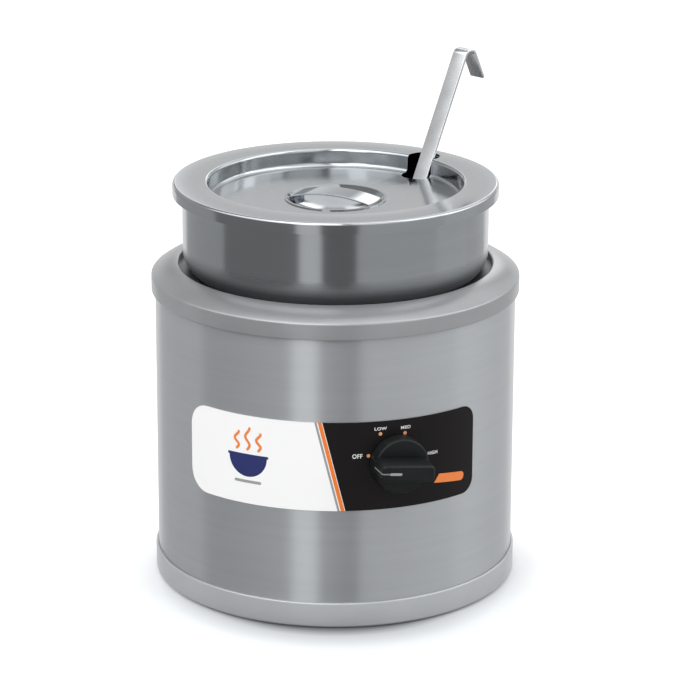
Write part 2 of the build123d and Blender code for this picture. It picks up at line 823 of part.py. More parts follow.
# Cord gland in the back of the shell
with BuildPart() as cord_gland:
    gland_face = sqrt(shell_inner**2 - gland_flange_radius**2) - fit_gap
    gland_plane = Plane(origin=(0, 0, gland_height), x_dir=(-1, 0, 0), z_dir=(0, 1, 0))
    barrel_start = gland_face - gland_inner_length
    barrel_length = shell_radius + gland_flange - barrel_start
    add_columns(gland_plane.offset(barrel_start), [(0, 0)], gland_barrel_radius, barrel_length)
    add_columns(gland_plane.offset(shell_radius), [(0, 0)], gland_flange_radius, gland_flange)
    add_columns(gland_plane.offset(gland_face - gland_flange), [(0, 0)], gland_flange_radius, gland_flange)
    add_columns(gland_plane.offset(barrel_start), [(0, 0)], gland_bore_radius, barrel_length, Mode.SUBTRACT)
cord_gland.part.label = "cord_gland"
export_step(cord_gland.part, "parts/cord_gland.step")

# Terminal block on the base plate
entry_places = [(side * block_pitch, block_place) for side in (-1, 0, 1)]
with BuildPart() as terminal_block:
    with BuildSketch(Plane.XY.offset(ledge_bottom)):
        with Locations((0, block_place)):
            Rectangle(block_width, block_depth)
        with Locations(*block_screw_places):
            Circle(screw_radius + fit_gap, mode=Mode.SUBTRACT)
    extrude(amount=block_height)
    entry_plane = Plane.XY.offset(block_top - block_entry_depth)
    add_columns(entry_plane, entry_places, block_entry_radius, block_entry_depth, Mode.SUBTRACT)
terminal_block.part.label = "terminal_block"
export_step(terminal_block.part, "parts/terminal_block.step")

# Screws that hold the block
with BuildPart() as block_screws:
    block_screw_bottom = plate_bottom - screw_tail
    block_screw_plane = Plane.XY.offset(block_screw_bottom)
    add_columns(block_screw_plane, block_screw_places, screw_radius, block_top - block_screw_bottom)
    add_columns(Plane.XY.offset(block_top), block_screw_places, screw_head_radius, screw_head_height)
block_screws.part.label = "block_screws"
export_step(block_screws.part, "parts/block_screws.step")

# Ground screw on the base plate
with BuildPart() as ground_screw:
    add_columns(block_screw_plane, [ground_place], screw_radius, ledge_bottom - block_screw_bottom)
    add_columns(Plane.XY.offset(ledge_bottom), [ground_place], screw_head_radius, screw_head_height)
ground_screw.part.label = "ground_screw"
export_step(ground_screw.part, "parts/ground_screw.step")

# Wires, each on a level of its own below the element
entry_floor = block_top - block_entry_depth
ground_wire_height = block_top + ground_wire_ratio * wire_space
neutral_height = block_top + neutral_wire_ratio * wire_space
element_wire_height = block_top + element_wire_ratio * wire_space
live_height = block_top + live_wire_ratio * wire_space
with BuildPart() as live_wire:
    live_start = dial_point(-tab_spacing / 2, tab_bottom, tab_out)
    live_end_x, live_end_y = entry_places[0]
    add_wire(
        [
            live_start,
            (live_start.X, live_start.Y, live_height),
            (live_end_x, live_end_y, live_height),
            (live_end_x, live_end_y, entry_floor),
        ],
        wire_radius,
        wire_bend,
    )
live_wire.part.label = "live_wire"
export_step(live_wire.part, "parts/live_wire.step")

with BuildPart() as element_wire:
    element_start = dial_point(tab_spacing / 2, tab_bottom, tab_out)
    pin_x, pin_y = leg_places[0]
    add_wire(
        [
            element_start,
            (element_start.X, element_start.Y, element_wire_height),
            (pin_x, pin_y, element_wire_height),
            (pin_x, pin_y, pin_bottom),
        ],
        wire_radius,
        wire_bend,
    )
element_wire.part.label = "element_wire"
export_step(element_wire.part, "parts/element_wire.step")

with BuildPart() as neutral_wire:
    neutral_x, neutral_y = entry_places[1]
    pin_x, pin_y = leg_places[1]
    add_wire(
        [
            (pin_x, pin_y, pin_bottom),
            (pin_x, pin_y, neutral_height),
            (neutral_x, neutral_y, neutral_height),
            (neutral_x, neutral_y, entry_floor),
        ],
        wire_radius,
        wire_bend,
    )
neutral_wire.part.label = "neutral_wire"
export_step(neutral_wire.part, "parts/neutral_wire.step")

with BuildPart() as ground_wire:
    ground_entry_x, ground_entry_y = entry_places[2]
    add_wire(
        [
            (ground_entry_x, ground_entry_y, entry_floor),
            (ground_entry_x, ground_entry_y, ground_wire_height),
            (ground_x, ground_y, ground_wire_height),
            (ground_x, ground_y, ledge_bottom + screw_head_height),
        ],
        wire_radius,
        wire_bend,
    )
ground_wire.part.label = "ground_wire"
export_step(ground_wire.part, "parts/ground_wire.step")

# Inset pot
with BuildPart() as inset_pot:
    with BuildSketch(Plane.XZ):
        with BuildLine():
            FilletPolyline(
                (0, pot_bottom),
                (pot_lower_radius, pot_bottom),
                (pot_lower_radius, crease_height),
                (pot_radius, shoulder_corner),
                (pot_radius, pot_top - pot_wall),
                (pot_rim_radius - pot_wall, pot_top - pot_wall),
                (pot_rim_radius - pot_wall, pot_top - rim_lip),
                radius=[pot_corner, shoulder_bend, shoulder_radius, rim_bend, rim_bend],
            )
            offset(amount=pot_wall, side=Side.LEFT)
        make_face()
    revolve(axis=Axis.Z)
inset_pot.part.label = "inset_pot"
export_step(inset_pot.part, "parts/inset_pot.step")

# Cover with its recess and the notch for the ladle's handle
with BuildPart() as cover:
    with BuildSketch(Plane.XZ):
        with BuildLine():
            FilletPolyline(
                (cup_radius + fit_gap, cover_floor),
                (recess_radius - recess_draft, cover_floor),
                (recess_radius, cover_top),
                (cover_radius, cover_top),
                (cover_radius, cover_top - cover_lip),
                radius=[recess_floor_bend, recess_edge, cover_edge],
            )
            offset(amount=cover_wall, side=Side.RIGHT)
        make_face()
    revolve(axis=Axis.Z)
    turn = radians(notch_angle)
    notch_low = cover_floor - cover_wall - overrun
    notch_plane = Plane(origin=(0, 0, notch_low), x_dir=(cos(turn), sin(turn), 0), z_dir=(0, 0, 1))
    with BuildSketch(notch_plane):
        with Locations((recess_radius - notch_inset + notch_length / 2, 0)):
            SlotCenterToCenter(notch_length, 2 * notch_radius)
    extrude(amount=cover_top - notch_low + overrun, mode=Mode.SUBTRACT)
cover.part.label = "cover"
export_step(cover.part, "parts/cover.step")

# Handle cup, a polished dish set in the cover's floor
with BuildPart() as handle_cup:
    with BuildSketch(Plane.XZ):
        with BuildLine():
            dish_turn = degrees(asin(cup_radius / cup_sphere))
            CenterArc((0, cup_centre), cup_sphere, -90, dish_turn)
            Line((cup_radius, cover_floor), (cup_radius + cup_flange, cover_floor))
            offset(amount=cup_wall, side=Side.LEFT)
        make_face()
    revolve(axis=Axis.Z)
handle_cup.part.label = "handle_cup"
export_step(handle_cup.part, "parts/handle_cup.step")

# Handle strap across the cup, its ends trimmed to the dish
with BuildPart() as handle_strap:
    with BuildSketch(radial_plane(strap_angle)):
        with BuildLine():
            ThreePointArc(
                (-cup_radius, cover_floor - strap_end_drop),
                (0, cover_floor + strap_rise),
                (cup_radius, cover_floor - strap_end_drop),
            )
            offset(amount=strap_thickness, side=Side.LEFT)
        make_face()
    extrude(amount=strap_width / 2, both=True)
    with Locations((0, 0, cup_centre)):
        Sphere(cup_sphere - cup_wall, mode=Mode.INTERSECT)
handle_strap.part.label = "handle_strap"
export_step(handle_strap.part, "parts/handle_strap.step")

# Ladle: its plane, the bowl's centre and the bowl's own axes
ladle_plane = radial_plane(ladle_angle)
ladle_out = ladle_plane.x_dir
ladle_side = ladle_plane.z_dir
bowl_centre = ladle_out * bowl_place + Vector(0, 0, bowl_height)
lean_out = ladle_out * cos(lean) - Vector(0, 0, sin(lean))
lean_up = ladle_out * sin(lean) + Vector(0, 0, cos(lean))
bowl_plane = Plane(origin=bowl_centre, x_dir=lean_out, z_dir=ladle_side)
rivet_angles = [rivet_first_angle, rivet_first_angle + rivet_pitch_angle]


def rivet_plane(angle, distance):
    """Plane square to the bowl's wall, a distance from its centre and below its equator."""
    turn = radians(angle)
    out = lean_out * cos(turn) - lean_up * sin(turn)
    return Plane(origin=bowl_centre + out * distance, x_dir=ladle_side, z_dir=out)


def add_rivets(radius, start, end, mode=Mode.ADD):
    """Round columns along each rivet's axis, between two distances from the bowl's centre."""
    for angle in rivet_angles:
        add_columns(rivet_plane(angle, start), [(0, 0)], radius, end - start, mode)


# Ladle bowl
tail_outside = handle_inside + handle_thickness
with BuildPart() as ladle_bowl:
    with BuildSketch(bowl_plane):
        with BuildLine():
            half_turn = degrees(acos(rim_height / bowl_sphere))
            CenterArc((0, 0), bowl_sphere, -90, half_turn)
            offset(amount=bowl_wall, side=Side.RIGHT)
        make_face()
    revolve(axis=Axis(bowl_centre, lean_up))
    add_rivets(rivet_radius, bowl_sphere - overrun, tail_outside, Mode.SUBTRACT)
ladle_bowl.part.label = "ladle_bowl"
export_step(ladle_bowl.part, "parts/ladle_bowl.step")

# Ladle handle, one strap from round the bowl to the hook
tail_turn = radians(tail_angle)
tangent_point = (tangent_place, tangent_height)
corner_point = (hook_corner, hook_top)
far_corner = (hook_corner + hook_flat, hook_top)
hook_tip = (far_corner[0] + hook_leg * sin(hook_angle), hook_top - hook_leg * cos(hook_angle))
with BuildPart() as ladle_handle:
    with BuildSketch(ladle_plane):
        with BuildLine():
            CenterArc((bowl_place, bowl_height), handle_inside, -ladle_lean - tail_angle, tail_angle)
            FilletPolyline(tangent_point, corner_point, far_corner, hook_tip, radius=hook_bend)
            offset(amount=handle_thickness, side=Side.RIGHT)
        make_face()
    extrude(amount=handle_width / 2, both=True)
    add_rivets(rivet_radius, bowl_sphere, tail_outside + overrun, Mode.SUBTRACT)
ladle_handle.part.label = "ladle_handle"
export_step(ladle_handle.part, "parts/ladle_handle.step")

# Ladle rivets
with BuildPart() as ladle_rivets:
    inner_seat = bowl_sphere - rivet_seat
    add_rivets(rivet_radius, inner_seat, tail_outside)
    add_rivets(rivet_head_radius, inner_seat - rivet_head_height, inner_seat)
    add_rivets(rivet_head_radius, tail_outside, tail_outside + rivet_head_height)
ladle_rivets.part.label = "ladle_rivets"
export_step(ladle_rivets.part, "parts/ladle_rivets.step")
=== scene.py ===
"""Countertop food warmer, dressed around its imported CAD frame.

Sizes are in millimetres in the classes and in metres in the meshes. +Z is up, the front with the
dial faces -Y, and the origin is on the body's axis at the surface that the warmer stands on.
"""

import json
import logging
from dataclasses import dataclass, field
from enum import Enum
from math import acos, asin, atan2, ceil, cos, degrees, hypot, pi, radians, sin, sqrt, tan
from typing import Callable, Sequence

import bmesh
import bpy
from mathutils import Matrix, Vector

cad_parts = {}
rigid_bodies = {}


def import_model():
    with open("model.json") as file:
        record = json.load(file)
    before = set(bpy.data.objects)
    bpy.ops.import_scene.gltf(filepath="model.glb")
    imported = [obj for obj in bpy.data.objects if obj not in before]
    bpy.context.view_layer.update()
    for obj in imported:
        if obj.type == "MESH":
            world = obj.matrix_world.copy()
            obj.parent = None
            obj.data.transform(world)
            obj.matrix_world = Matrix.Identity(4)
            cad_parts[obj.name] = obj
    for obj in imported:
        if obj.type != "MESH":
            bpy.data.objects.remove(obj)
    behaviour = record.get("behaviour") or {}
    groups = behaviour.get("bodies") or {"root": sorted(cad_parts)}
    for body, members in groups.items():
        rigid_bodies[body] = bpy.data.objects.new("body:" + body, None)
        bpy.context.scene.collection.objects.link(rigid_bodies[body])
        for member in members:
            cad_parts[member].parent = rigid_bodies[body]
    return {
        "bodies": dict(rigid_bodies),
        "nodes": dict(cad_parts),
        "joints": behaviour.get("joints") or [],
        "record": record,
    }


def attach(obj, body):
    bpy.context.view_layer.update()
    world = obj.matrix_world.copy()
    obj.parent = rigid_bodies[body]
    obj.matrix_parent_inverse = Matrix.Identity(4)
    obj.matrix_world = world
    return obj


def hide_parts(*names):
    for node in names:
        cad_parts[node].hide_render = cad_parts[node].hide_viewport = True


LOG = logging.getLogger("food_warmer")
MM = 0.001
SMOOTH_ANGLE = radians(32)

Point2 = tuple[float, float]
Colour = tuple[float, float, float]


class Body(Enum):
    """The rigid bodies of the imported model."""

    WARMER = "warmer"
    KNOB = "knob"
    INSET = "inset"
    COVER = "cover"
    LADLE = "ladle"


class Side(Enum):
    """Which side of a path its sheet's thickness goes to, as seen along the path."""

    LEFT = 1
    RIGHT = -1


# Outlines


def filleted(points: Sequence[Point2], radii: Sequence[float], steps: int = 8) -> list[Point2]:
    """Round the inner corners of an open line.

    Args:
        points: The line's corners.
        radii: One radius for each inner corner, 0 for a sharp one.
        steps: Divisions of each arc.

    Returns:
        The line's points with its arcs.
    """
    line = [points[0]]
    for index, radius in enumerate(radii, start=1):
        before, corner, after = (Vector(points[index + shift]) for shift in (-1, 0, 1))
        if radius <= 0:
            line.append(tuple(corner))
            continue
        into, out = (corner - before).normalized(), (after - corner).normalized()
        turn = acos(max(-1.0, min(1.0, into.dot(out))))
        back = radius * tan(turn / 2)
        side = 1 if into.x * out.y - into.y * out.x > 0 else -1
        normal = Vector((-into.y, into.x)) * side
        centre = corner - into * back + normal * radius
        for step in range(steps + 1):
            angle = turn * step / steps
            line.append(tuple(centre - normal * radius * cos(angle) + into * radius * sin(angle)))
    line.append(points[-1])
    return [p for i, p in enumerate(line) if i == 0 or hypot(p[0] - line[i - 1][0], p[1] - line[i - 1][1]) > 1e-5]


def arc(centre: Point2, radius: float, start: float, turn: float, steps: int = 24) -> list[Point2]:
    """Points of an arc, from a start angle through a turn, both in degrees."""
    angles = [radians(start + turn * step / steps) for step in range(steps + 1)]
    return [(centre[0] + radius * cos(a), centre[1] + radius * sin(a)) for a in angles]


def thickened(path: Sequence[Point2], thickness: float, side: Side) -> list[Point2]:
    """Give an open path a sheet's thickness.

    Args:
        path: The sheet's drawn face.
        thickness: How thick the sheet is.
        side: The side that its other face lies on.

    Returns:
        The closed outline of the sheet.
    """
    other = []
    for index, point in enumerate(path):
        here = Vector(point)
        legs = []
        if index > 0:
            legs.append((here - Vector(path[index - 1])).normalized())
        if index < len(path) - 1:
            legs.append((Vector(path[index + 1]) - here).normalized())
        normals = [Vector((-leg.y, leg.x)) * side.value for leg in legs]
        mean = sum(normals, Vector((0, 0))).normalized()
        other.append(tuple(here + mean * (thickness / max(0.3, mean.dot(normals[0])))))
    return list(path) + other[::-1]


# Meshes


def link(name: str, mesh: bpy.types.Mesh) -> bpy.types.Object:
    """Put a mesh in the scene as an object."""
    piece = bpy.data.objects.new(name, mesh)
    bpy.context.scene.collection.objects.link(piece)
    return piece


def smooth(piece: bpy.types.Object, angle: float = SMOOTH_ANGLE) -> None:
    """Shade a piece smooth, apart from the edges sharper than an angle."""
    piece.data.shade_smooth()
    piece.data.set_sharp_from_angle(angle=angle)


def mesh_piece(name: str, points: Sequence[Sequence[float]], faces: Sequence[Sequence[int]]) -> bpy.types.Object:
    """Make a closed mesh of points in millimetres, with its faces outwards.

    Args:
        name: The piece's name.
        points: Its vertices in millimetres.
        faces: Its faces.

    Returns:
        The piece.
    """
    mesh = bpy.data.meshes.new(name)
    mesh.from_pydata([Vector(point) * MM for point in points], [], faces)
    shape = bmesh.new()
    shape.from_mesh(mesh)
    bmesh.ops.remove_doubles(shape, verts=shape.verts, dist=1e-7)
    bmesh.ops.recalc_face_normals(shape, faces=shape.faces)
    shape.to_mesh(mesh)
    shape.free()
    piece = link(name, mesh)
    smooth(piece)
    return piece


def lathe(name: str, outline: Sequence[Point2], place: Matrix | None = None, segments: int = 256) -> bpy.types.Object:
    """Turn a closed outline of radius and height about the upright axis.

    Args:
        name: The piece's name.
        outline: Its closed outline.
        place: Where the turned shape goes, in millimetres.
        segments: Divisions of the turn.

    Returns:
        The turned piece.
    """
    points: list[Vector] = []
    rings: list[list[int]] = []
    for radius, height in outline:
        if radius < 1e-4:
            points.append(Vector((0, 0, height)))
            rings.append([len(points) - 1] * segments)
            continue
        rings.append(list(range(len(points), len(points) + segments)))
        turns = [2 * pi * step / segments for step in range(segments)]
        points.extend(Vector((radius * cos(t), radius * sin(t), height)) for t in turns)
    faces = []
    for index, low in enumerate(rings):
        high = rings[(index + 1) % len(rings)]
        if low[0] == low[1] and high[0] == high[1]:
            continue
        for step in range(segments):
            after = (step + 1) % segments
            corners = [low[step], low[after], high[after], high[step]]
            faces.append(list(dict.fromkeys(corners)))
    if place is not None:
        points = [place @ point for point in points]
    return mesh_piece(name, points, faces)


def slab(name: str, outline: Sequence[Point2], plane: Matrix, near: float, far: float) -> bpy.types.Object:
    """Extrude a closed outline along its plane's normal.

    Args:
        name: The piece's name.
        outline: Points across and up in the plane.
        plane: The plane's place, in millimetres.
        near: Where the shape starts along the normal.
        far: Where it ends.

    Returns:
        The extruded piece.
    """
    count = len(outline)
    points = [plane @ Vector((x, y, depth)) for depth in (near, far) for x, y in outline]
    faces = [[i, (i + 1) % count, (i + 1) % count + count, i + count] for i in range(count)]
    faces += [list(range(count)), list(range(2 * count - 1, count - 1, -1))]
    return mesh_piece(name, points, faces)


def strip_slab(name: str, path: Sequence[Point2], thickness: float, side: Side, plane: Matrix, width: float) -> bpy.types.Object:
    """Make a strap: a sheet's path extruded to a width, split across so that its caps stay even.

    Args:
        name: The piece's name.
        path: The strap's drawn face in the plane.
        thickness: How thick the strap is.
        side: The side that its other face lies on.
        plane: The plane that its middle line lies in.
        width: How wide it is.

    Returns:
        The strap.
    """
    outline = thickened(path, thickness, side)
    count, half = len(path), width / 2
    points = [plane @ Vector((x, y, depth)) for depth in (-half, half) for x, y in outline]
    total = len(outline)
    faces = [[i, (i + 1) % total, (i + 1) % total + total, i + total] for i in range(total)]
    for base in (0, total):
        for i in range(count - 1):
            faces.append([base + i, base + i + 1, base + total - 2 - i, base + total - 1 - i])
    return mesh_piece(name, points, faces)


def settled(piece: bpy.types.Object, angle: float = SMOOTH_ANGLE) -> bpy.types.Object:
    """Turn a piece and its modifiers into one plain mesh.

    Args:
        piece: The piece with its modifiers.
        angle: Edges sharper than this stay sharp.

    Returns:
        The same piece with no modifiers.
    """
    graph = bpy.context.evaluated_depsgraph_get()
    mesh = bpy.data.meshes.new_from_object(piece.evaluated_get(graph), depsgraph=graph)
    piece.modifiers.clear()
    piece.data = mesh
    smooth(piece, angle)
    return piece


def bevelled(piece: bpy.types.Object, width: float, segments: int = 3, angle: float = 30) -> bpy.types.Object:
    """Round a piece's edges that are sharper than an angle, to a width in millimetres."""
    bevel = piece.modifiers.new("edges", "BEVEL")
    bevel.width = width * MM
    bevel.segments = segments
    bevel.angle_limit = radians(angle)
    bevel.harden_normals = False
    return settled(piece)


def cut(piece: bpy.types.Object, cutter: bpy.types.Object, operation: str = "DIFFERENCE") -> bpy.types.Object:
    """Cut or join a piece with another, which is used up.

    Args:
        piece: The piece that stays.
        cutter: The shape that is taken off or added.
        operation: DIFFERENCE, UNION or INTERSECT.

    Returns:
        The changed piece.
    """
    boolean = piece.modifiers.new("cut", "BOOLEAN")
    boolean.operation = operation
    boolean.solver = "EXACT"
    boolean.object = cutter
    settled(piece)
    bpy.data.objects.remove(cutter)
    return piece


def joined(name: str, pieces: Sequence[bpy.types.Object]) -> bpy.types.Object:
    """Join pieces that already lie at their places into one mesh."""
    shape = bmesh.new()
    for piece in pieces:
        shape.from_mesh(piece.data)
        bpy.data.objects.remove(piece)
    mesh = bpy.data.meshes.new(name)
    shape.to_mesh(mesh)
    shape.free()
    piece = link(name, mesh)
    smooth(piece)
    return piece


# Patterns of repeated pieces


class Pattern:
    """Geometry Nodes that set one piece at many places."""

    def __init__(self) -> None:
        """Build both trees once."""
        self.ring_tree = self._ring_tree()
        self.place_tree = self._place_tree()

    @staticmethod
    def _new_tree(name: str, sizes: Sequence[tuple[str, str]]) -> bpy.types.GeometryNodeTree:
        """Start a tree with a geometry in and out and its named inputs."""
        tree = bpy.data.node_groups.new(name, "GeometryNodeTree")
        tree.interface.new_socket("Geometry", in_out="INPUT", socket_type="NodeSocketGeometry")
        for label, kind in sizes:
            tree.interface.new_socket(label, in_out="INPUT", socket_type=kind)
        tree.interface.new_socket("Geometry", in_out="OUTPUT", socket_type="NodeSocketGeometry")
        return tree

    @staticmethod
    def _finish_tree(tree: bpy.types.GeometryNodeTree, instances: bpy.types.NodeSocket, source: bpy.types.Node) -> None:
        """End a tree in Realize Instances and Set Material."""
        real = tree.nodes.new("GeometryNodeRealizeInstances")
        dress = tree.nodes.new("GeometryNodeSetMaterial")
        out = tree.nodes.new("NodeGroupOutput")
        tree.links.new(instances, real.inputs[0])
        tree.links.new(real.outputs[0], dress.inputs["Geometry"])
        tree.links.new(source.outputs["Finish"], dress.inputs["Material"])
        tree.links.new(dress.outputs[0], out.inputs[0])

    def _ring_tree(self) -> bpy.types.GeometryNodeTree:
        """Copies of an upright piece, evenly round the body's axis."""
        tree = self._new_tree(
            "ring_of_pieces",
            (("Piece", "NodeSocketObject"), ("Count", "NodeSocketInt"), ("Circle", "NodeSocketFloat"),
             ("Start", "NodeSocketFloat"), ("Finish", "NodeSocketMaterial")),
        )
        source = tree.nodes.new("NodeGroupInput")
        circle = tree.nodes.new("GeometryNodeMeshCircle")
        turn = tree.nodes.new("GeometryNodeTransform")
        angle = tree.nodes.new("ShaderNodeCombineXYZ")
        info = tree.nodes.new("GeometryNodeObjectInfo")
        place = tree.nodes.new("GeometryNodeInstanceOnPoints")
        tree.links.new(source.outputs["Count"], circle.inputs["Vertices"])
        tree.links.new(source.outputs["Circle"], circle.inputs["Radius"])
        tree.links.new(source.outputs["Start"], angle.inputs["Z"])
        tree.links.new(circle.outputs[0], turn.inputs["Geometry"])
        tree.links.new(angle.outputs[0], turn.inputs["Rotation"])
        tree.links.new(source.outputs["Piece"], info.inputs["Object"])
        tree.links.new(turn.outputs[0], place.inputs["Points"])
        tree.links.new(info.outputs["Geometry"], place.inputs["Instance"])
        self._finish_tree(tree, place.outputs[0], source)
        return tree

    def _place_tree(self) -> bpy.types.GeometryNodeTree:
        """Copies of a piece at the base mesh's points, each facing its own way."""
        tree = self._new_tree(
            "pieces_at_places",
            (("Piece", "NodeSocketObject"), ("Size", "NodeSocketFloat"), ("Finish", "NodeSocketMaterial")),
        )
        source = tree.nodes.new("NodeGroupInput")
        facing = tree.nodes.new("GeometryNodeInputNamedAttribute")
        facing.data_type = "FLOAT_VECTOR"
        facing.inputs["Name"].default_value = "facing"
        align = tree.nodes.new("FunctionNodeAlignRotationToVector")
        align.axis = "Z"
        info = tree.nodes.new("GeometryNodeObjectInfo")
        place = tree.nodes.new("GeometryNodeInstanceOnPoints")
        tree.links.new(facing.outputs["Attribute"], align.inputs["Vector"])
        tree.links.new(source.outputs["Piece"], info.inputs["Object"])
        tree.links.new(source.outputs["Geometry"], place.inputs["Points"])
        tree.links.new(info.outputs["Geometry"], place.inputs["Instance"])
        tree.links.new(align.outputs[0], place.inputs["Rotation"])
        tree.links.new(source.outputs["Size"], place.inputs["Scale"])
        self._finish_tree(tree, place.outputs[0], source)
        return tree

    @staticmethod
    def _run(base: bpy.types.Object, tree: bpy.types.GeometryNodeTree, values: dict, piece: bpy.types.Object) -> bpy.types.Object:
        """Set the inputs, turn the result into a mesh and remove the pattern piece."""
        modifier = base.modifiers.new("pattern", "NODES")
        modifier.node_group = tree
        for item in tree.interface.items_tree:
            if item.in_out == "INPUT" and item.name in values:
                modifier[item.identifier] = values[item.name]
        settled(base)
        bpy.data.objects.remove(piece)
        return base

    def ring(self, name: str, piece: bpy.types.Object, count: int, circle: float, start: float,
             finish: bpy.types.Material) -> bpy.types.Object:
        """Set copies of a piece evenly round the axis.

        Args:
            name: The new piece's name.
            piece: The piece at the axis, used up.
            count: How many copies.
            circle: The circle's radius in millimetres.
            start: The first copy's angle from +X in degrees.
            finish: Its material.

        Returns:
            One plain mesh of all the copies.
        """
        base = link(name, bpy.data.meshes.new(name))
        values = {"Piece": piece, "Count": count, "Circle": circle * MM, "Start": radians(start), "Finish": finish}
        return self._run(base, self.ring_tree, values, piece)

    def places(self, name: str, piece: bpy.types.Object, spots: Sequence[tuple[Vector, Vector]],
               finish: bpy.types.Material) -> bpy.types.Object:
        """Set copies of a piece at places in millimetres, its Z along each given way.

        Args:
            name: The new piece's name.
            piece: The piece at the origin, used up.
            spots: Each copy's place and the way that it faces.
            finish: Its material.

        Returns:
            One plain mesh of all the copies.
        """
        mesh = bpy.data.meshes.new(name)
        mesh.from_pydata([spot * MM for spot, _ in spots], [], [])
        facing = mesh.attributes.new("facing", "FLOAT_VECTOR", "POINT")
        for index, (_, way) in enumerate(spots):
            facing.data[index].vector = way
        return self._run(link(name, mesh), self.place_tree, {"Piece": piece, "Size": 1.0, "Finish": finish}, piece)


# Shader node groups that the finishes share


class Effects:
    """Shader node groups, each built once."""

    def __init__(self) -> None:
        """Build the groups."""
        self.turned = self._turned_grain()
        self.cloud = self._cloud()
        self.wear = self._edge_wear()

    @staticmethod
    def _start(name: str, inputs: dict[str, float], outputs: Sequence[str]) -> tuple:
        """Start a group with its numbers in and out.

        Args:
            name: The group's name.
            inputs: The inputs' names and starting values.
            outputs: The outputs' names.

        Returns:
            The tree, its input node and its output node.
        """
        tree = bpy.data.node_groups.new(name, "ShaderNodeTree")
        for label, value in inputs.items():
            socket = tree.interface.new_socket(label, in_out="INPUT", socket_type="NodeSocketFloat")
            socket.default_value = value
        for label in outputs:
            tree.interface.new_socket(label, in_out="OUTPUT", socket_type="NodeSocketFloat")
        return tree, tree.nodes.new("NodeGroupInput"), tree.nodes.new("NodeGroupOutput")

    @staticmethod
    def _math(tree: bpy.types.NodeTree, operation: str, *values: object) -> bpy.types.NodeSocket:
        """Add a Math node whose inputs are sockets or numbers."""
        node = tree.nodes.new("ShaderNodeMath")
        node.operation = operation
        for socket, value in zip(node.inputs, values):
            if isinstance(value, bpy.types.NodeSocket):
                tree.links.new(value, socket)
            else:
                socket.default_value = value
        return node.outputs[0]

    def _turned_grain(self) -> bpy.types.ShaderNodeTree:
        """Fine lines that run round the axis, as on spun, turned or rolled metal."""
        tree, source, out = self._start("turned_grain", {"Fine": 1800.0, "Coarse": 9.0}, ("Streak", "Band"))
        place = tree.nodes.new("ShaderNodeTexCoord")
        split = tree.nodes.new("ShaderNodeSeparateXYZ")
        tree.links.new(place.outputs["Object"], split.inputs[0])
        x, y, z = split.outputs
        radius = self._math(tree, "SQRT", self._math(tree, "ADD", self._math(tree, "MULTIPLY", x, x), self._math(tree, "MULTIPLY", y, y)))
        across = self._math(tree, "MULTIPLY", self._math(tree, "MULTIPLY_ADD", y, 0.6, x), source.outputs["Coarse"])
        for label, share, detail in (("Streak", 1.0, 3.0), ("Band", 0.07, 2.0)):
            fine = self._math(tree, "MULTIPLY", source.outputs["Fine"], share)
            join = tree.nodes.new("ShaderNodeCombineXYZ")
            tree.links.new(self._math(tree, "MULTIPLY", radius, fine), join.inputs[0])
            tree.links.new(self._math(tree, "MULTIPLY", z, fine), join.inputs[1])
            tree.links.new(across, join.inputs[2])
            noise = tree.nodes.new("ShaderNodeTexNoise")
            noise.inputs["Scale"].default_value = 1.0
            noise.inputs["Detail"].default_value = detail
            tree.links.new(join.outputs[0], noise.inputs["Vector"])
            tree.links.new(noise.outputs[0], out.inputs[label])
        return tree

    def _cloud(self) -> bpy.types.ShaderNodeTree:
        """Soft uneven patches and a fine grit."""
        tree, source, out = self._start("cloud", {"Patch": 14.0, "Grit": 1400.0}, ("Patch", "Grit"))
        place = tree.nodes.new("ShaderNodeTexCoord")
        for label, detail in (("Patch", 4.0), ("Grit", 2.0)):
            noise = tree.nodes.new("ShaderNodeTexNoise")
            noise.inputs["Detail"].default_value = detail
            tree.links.new(place.outputs["Object"], noise.inputs["Vector"])
            tree.links.new(source.outputs[label], noise.inputs["Scale"])
            tree.links.new(noise.outputs[0], out.inputs[label])
        return tree

    def _edge_wear(self) -> bpy.types.ShaderNodeTree:
        """A mask of worn outer edges, broken up by noise."""
        tree, source, out = self._start("edge_wear", {"Width": 0.06, "Break": 160.0}, ("Mask",))
        shape = tree.nodes.new("ShaderNodeNewGeometry")
        place = tree.nodes.new("ShaderNodeTexCoord")
        noise = tree.nodes.new("ShaderNodeTexNoise")
        tree.links.new(place.outputs["Object"], noise.inputs["Vector"])
        tree.links.new(source.outputs["Break"], noise.inputs["Scale"])
        edge = self._math(tree, "SUBTRACT", shape.outputs["Pointiness"], 0.5)
        worn = self._math(tree, "SUBTRACT", edge, source.outputs["Width"])
        scaled = self._math(tree, "MULTIPLY", self._math(tree, "MULTIPLY", worn, 12.0), noise.outputs[0])
        clamp = tree.nodes.new("ShaderNodeClamp")
        tree.links.new(scaled, clamp.inputs[0])
        tree.links.new(clamp.outputs[0], out.inputs["Mask"])
        return tree


# Finishes


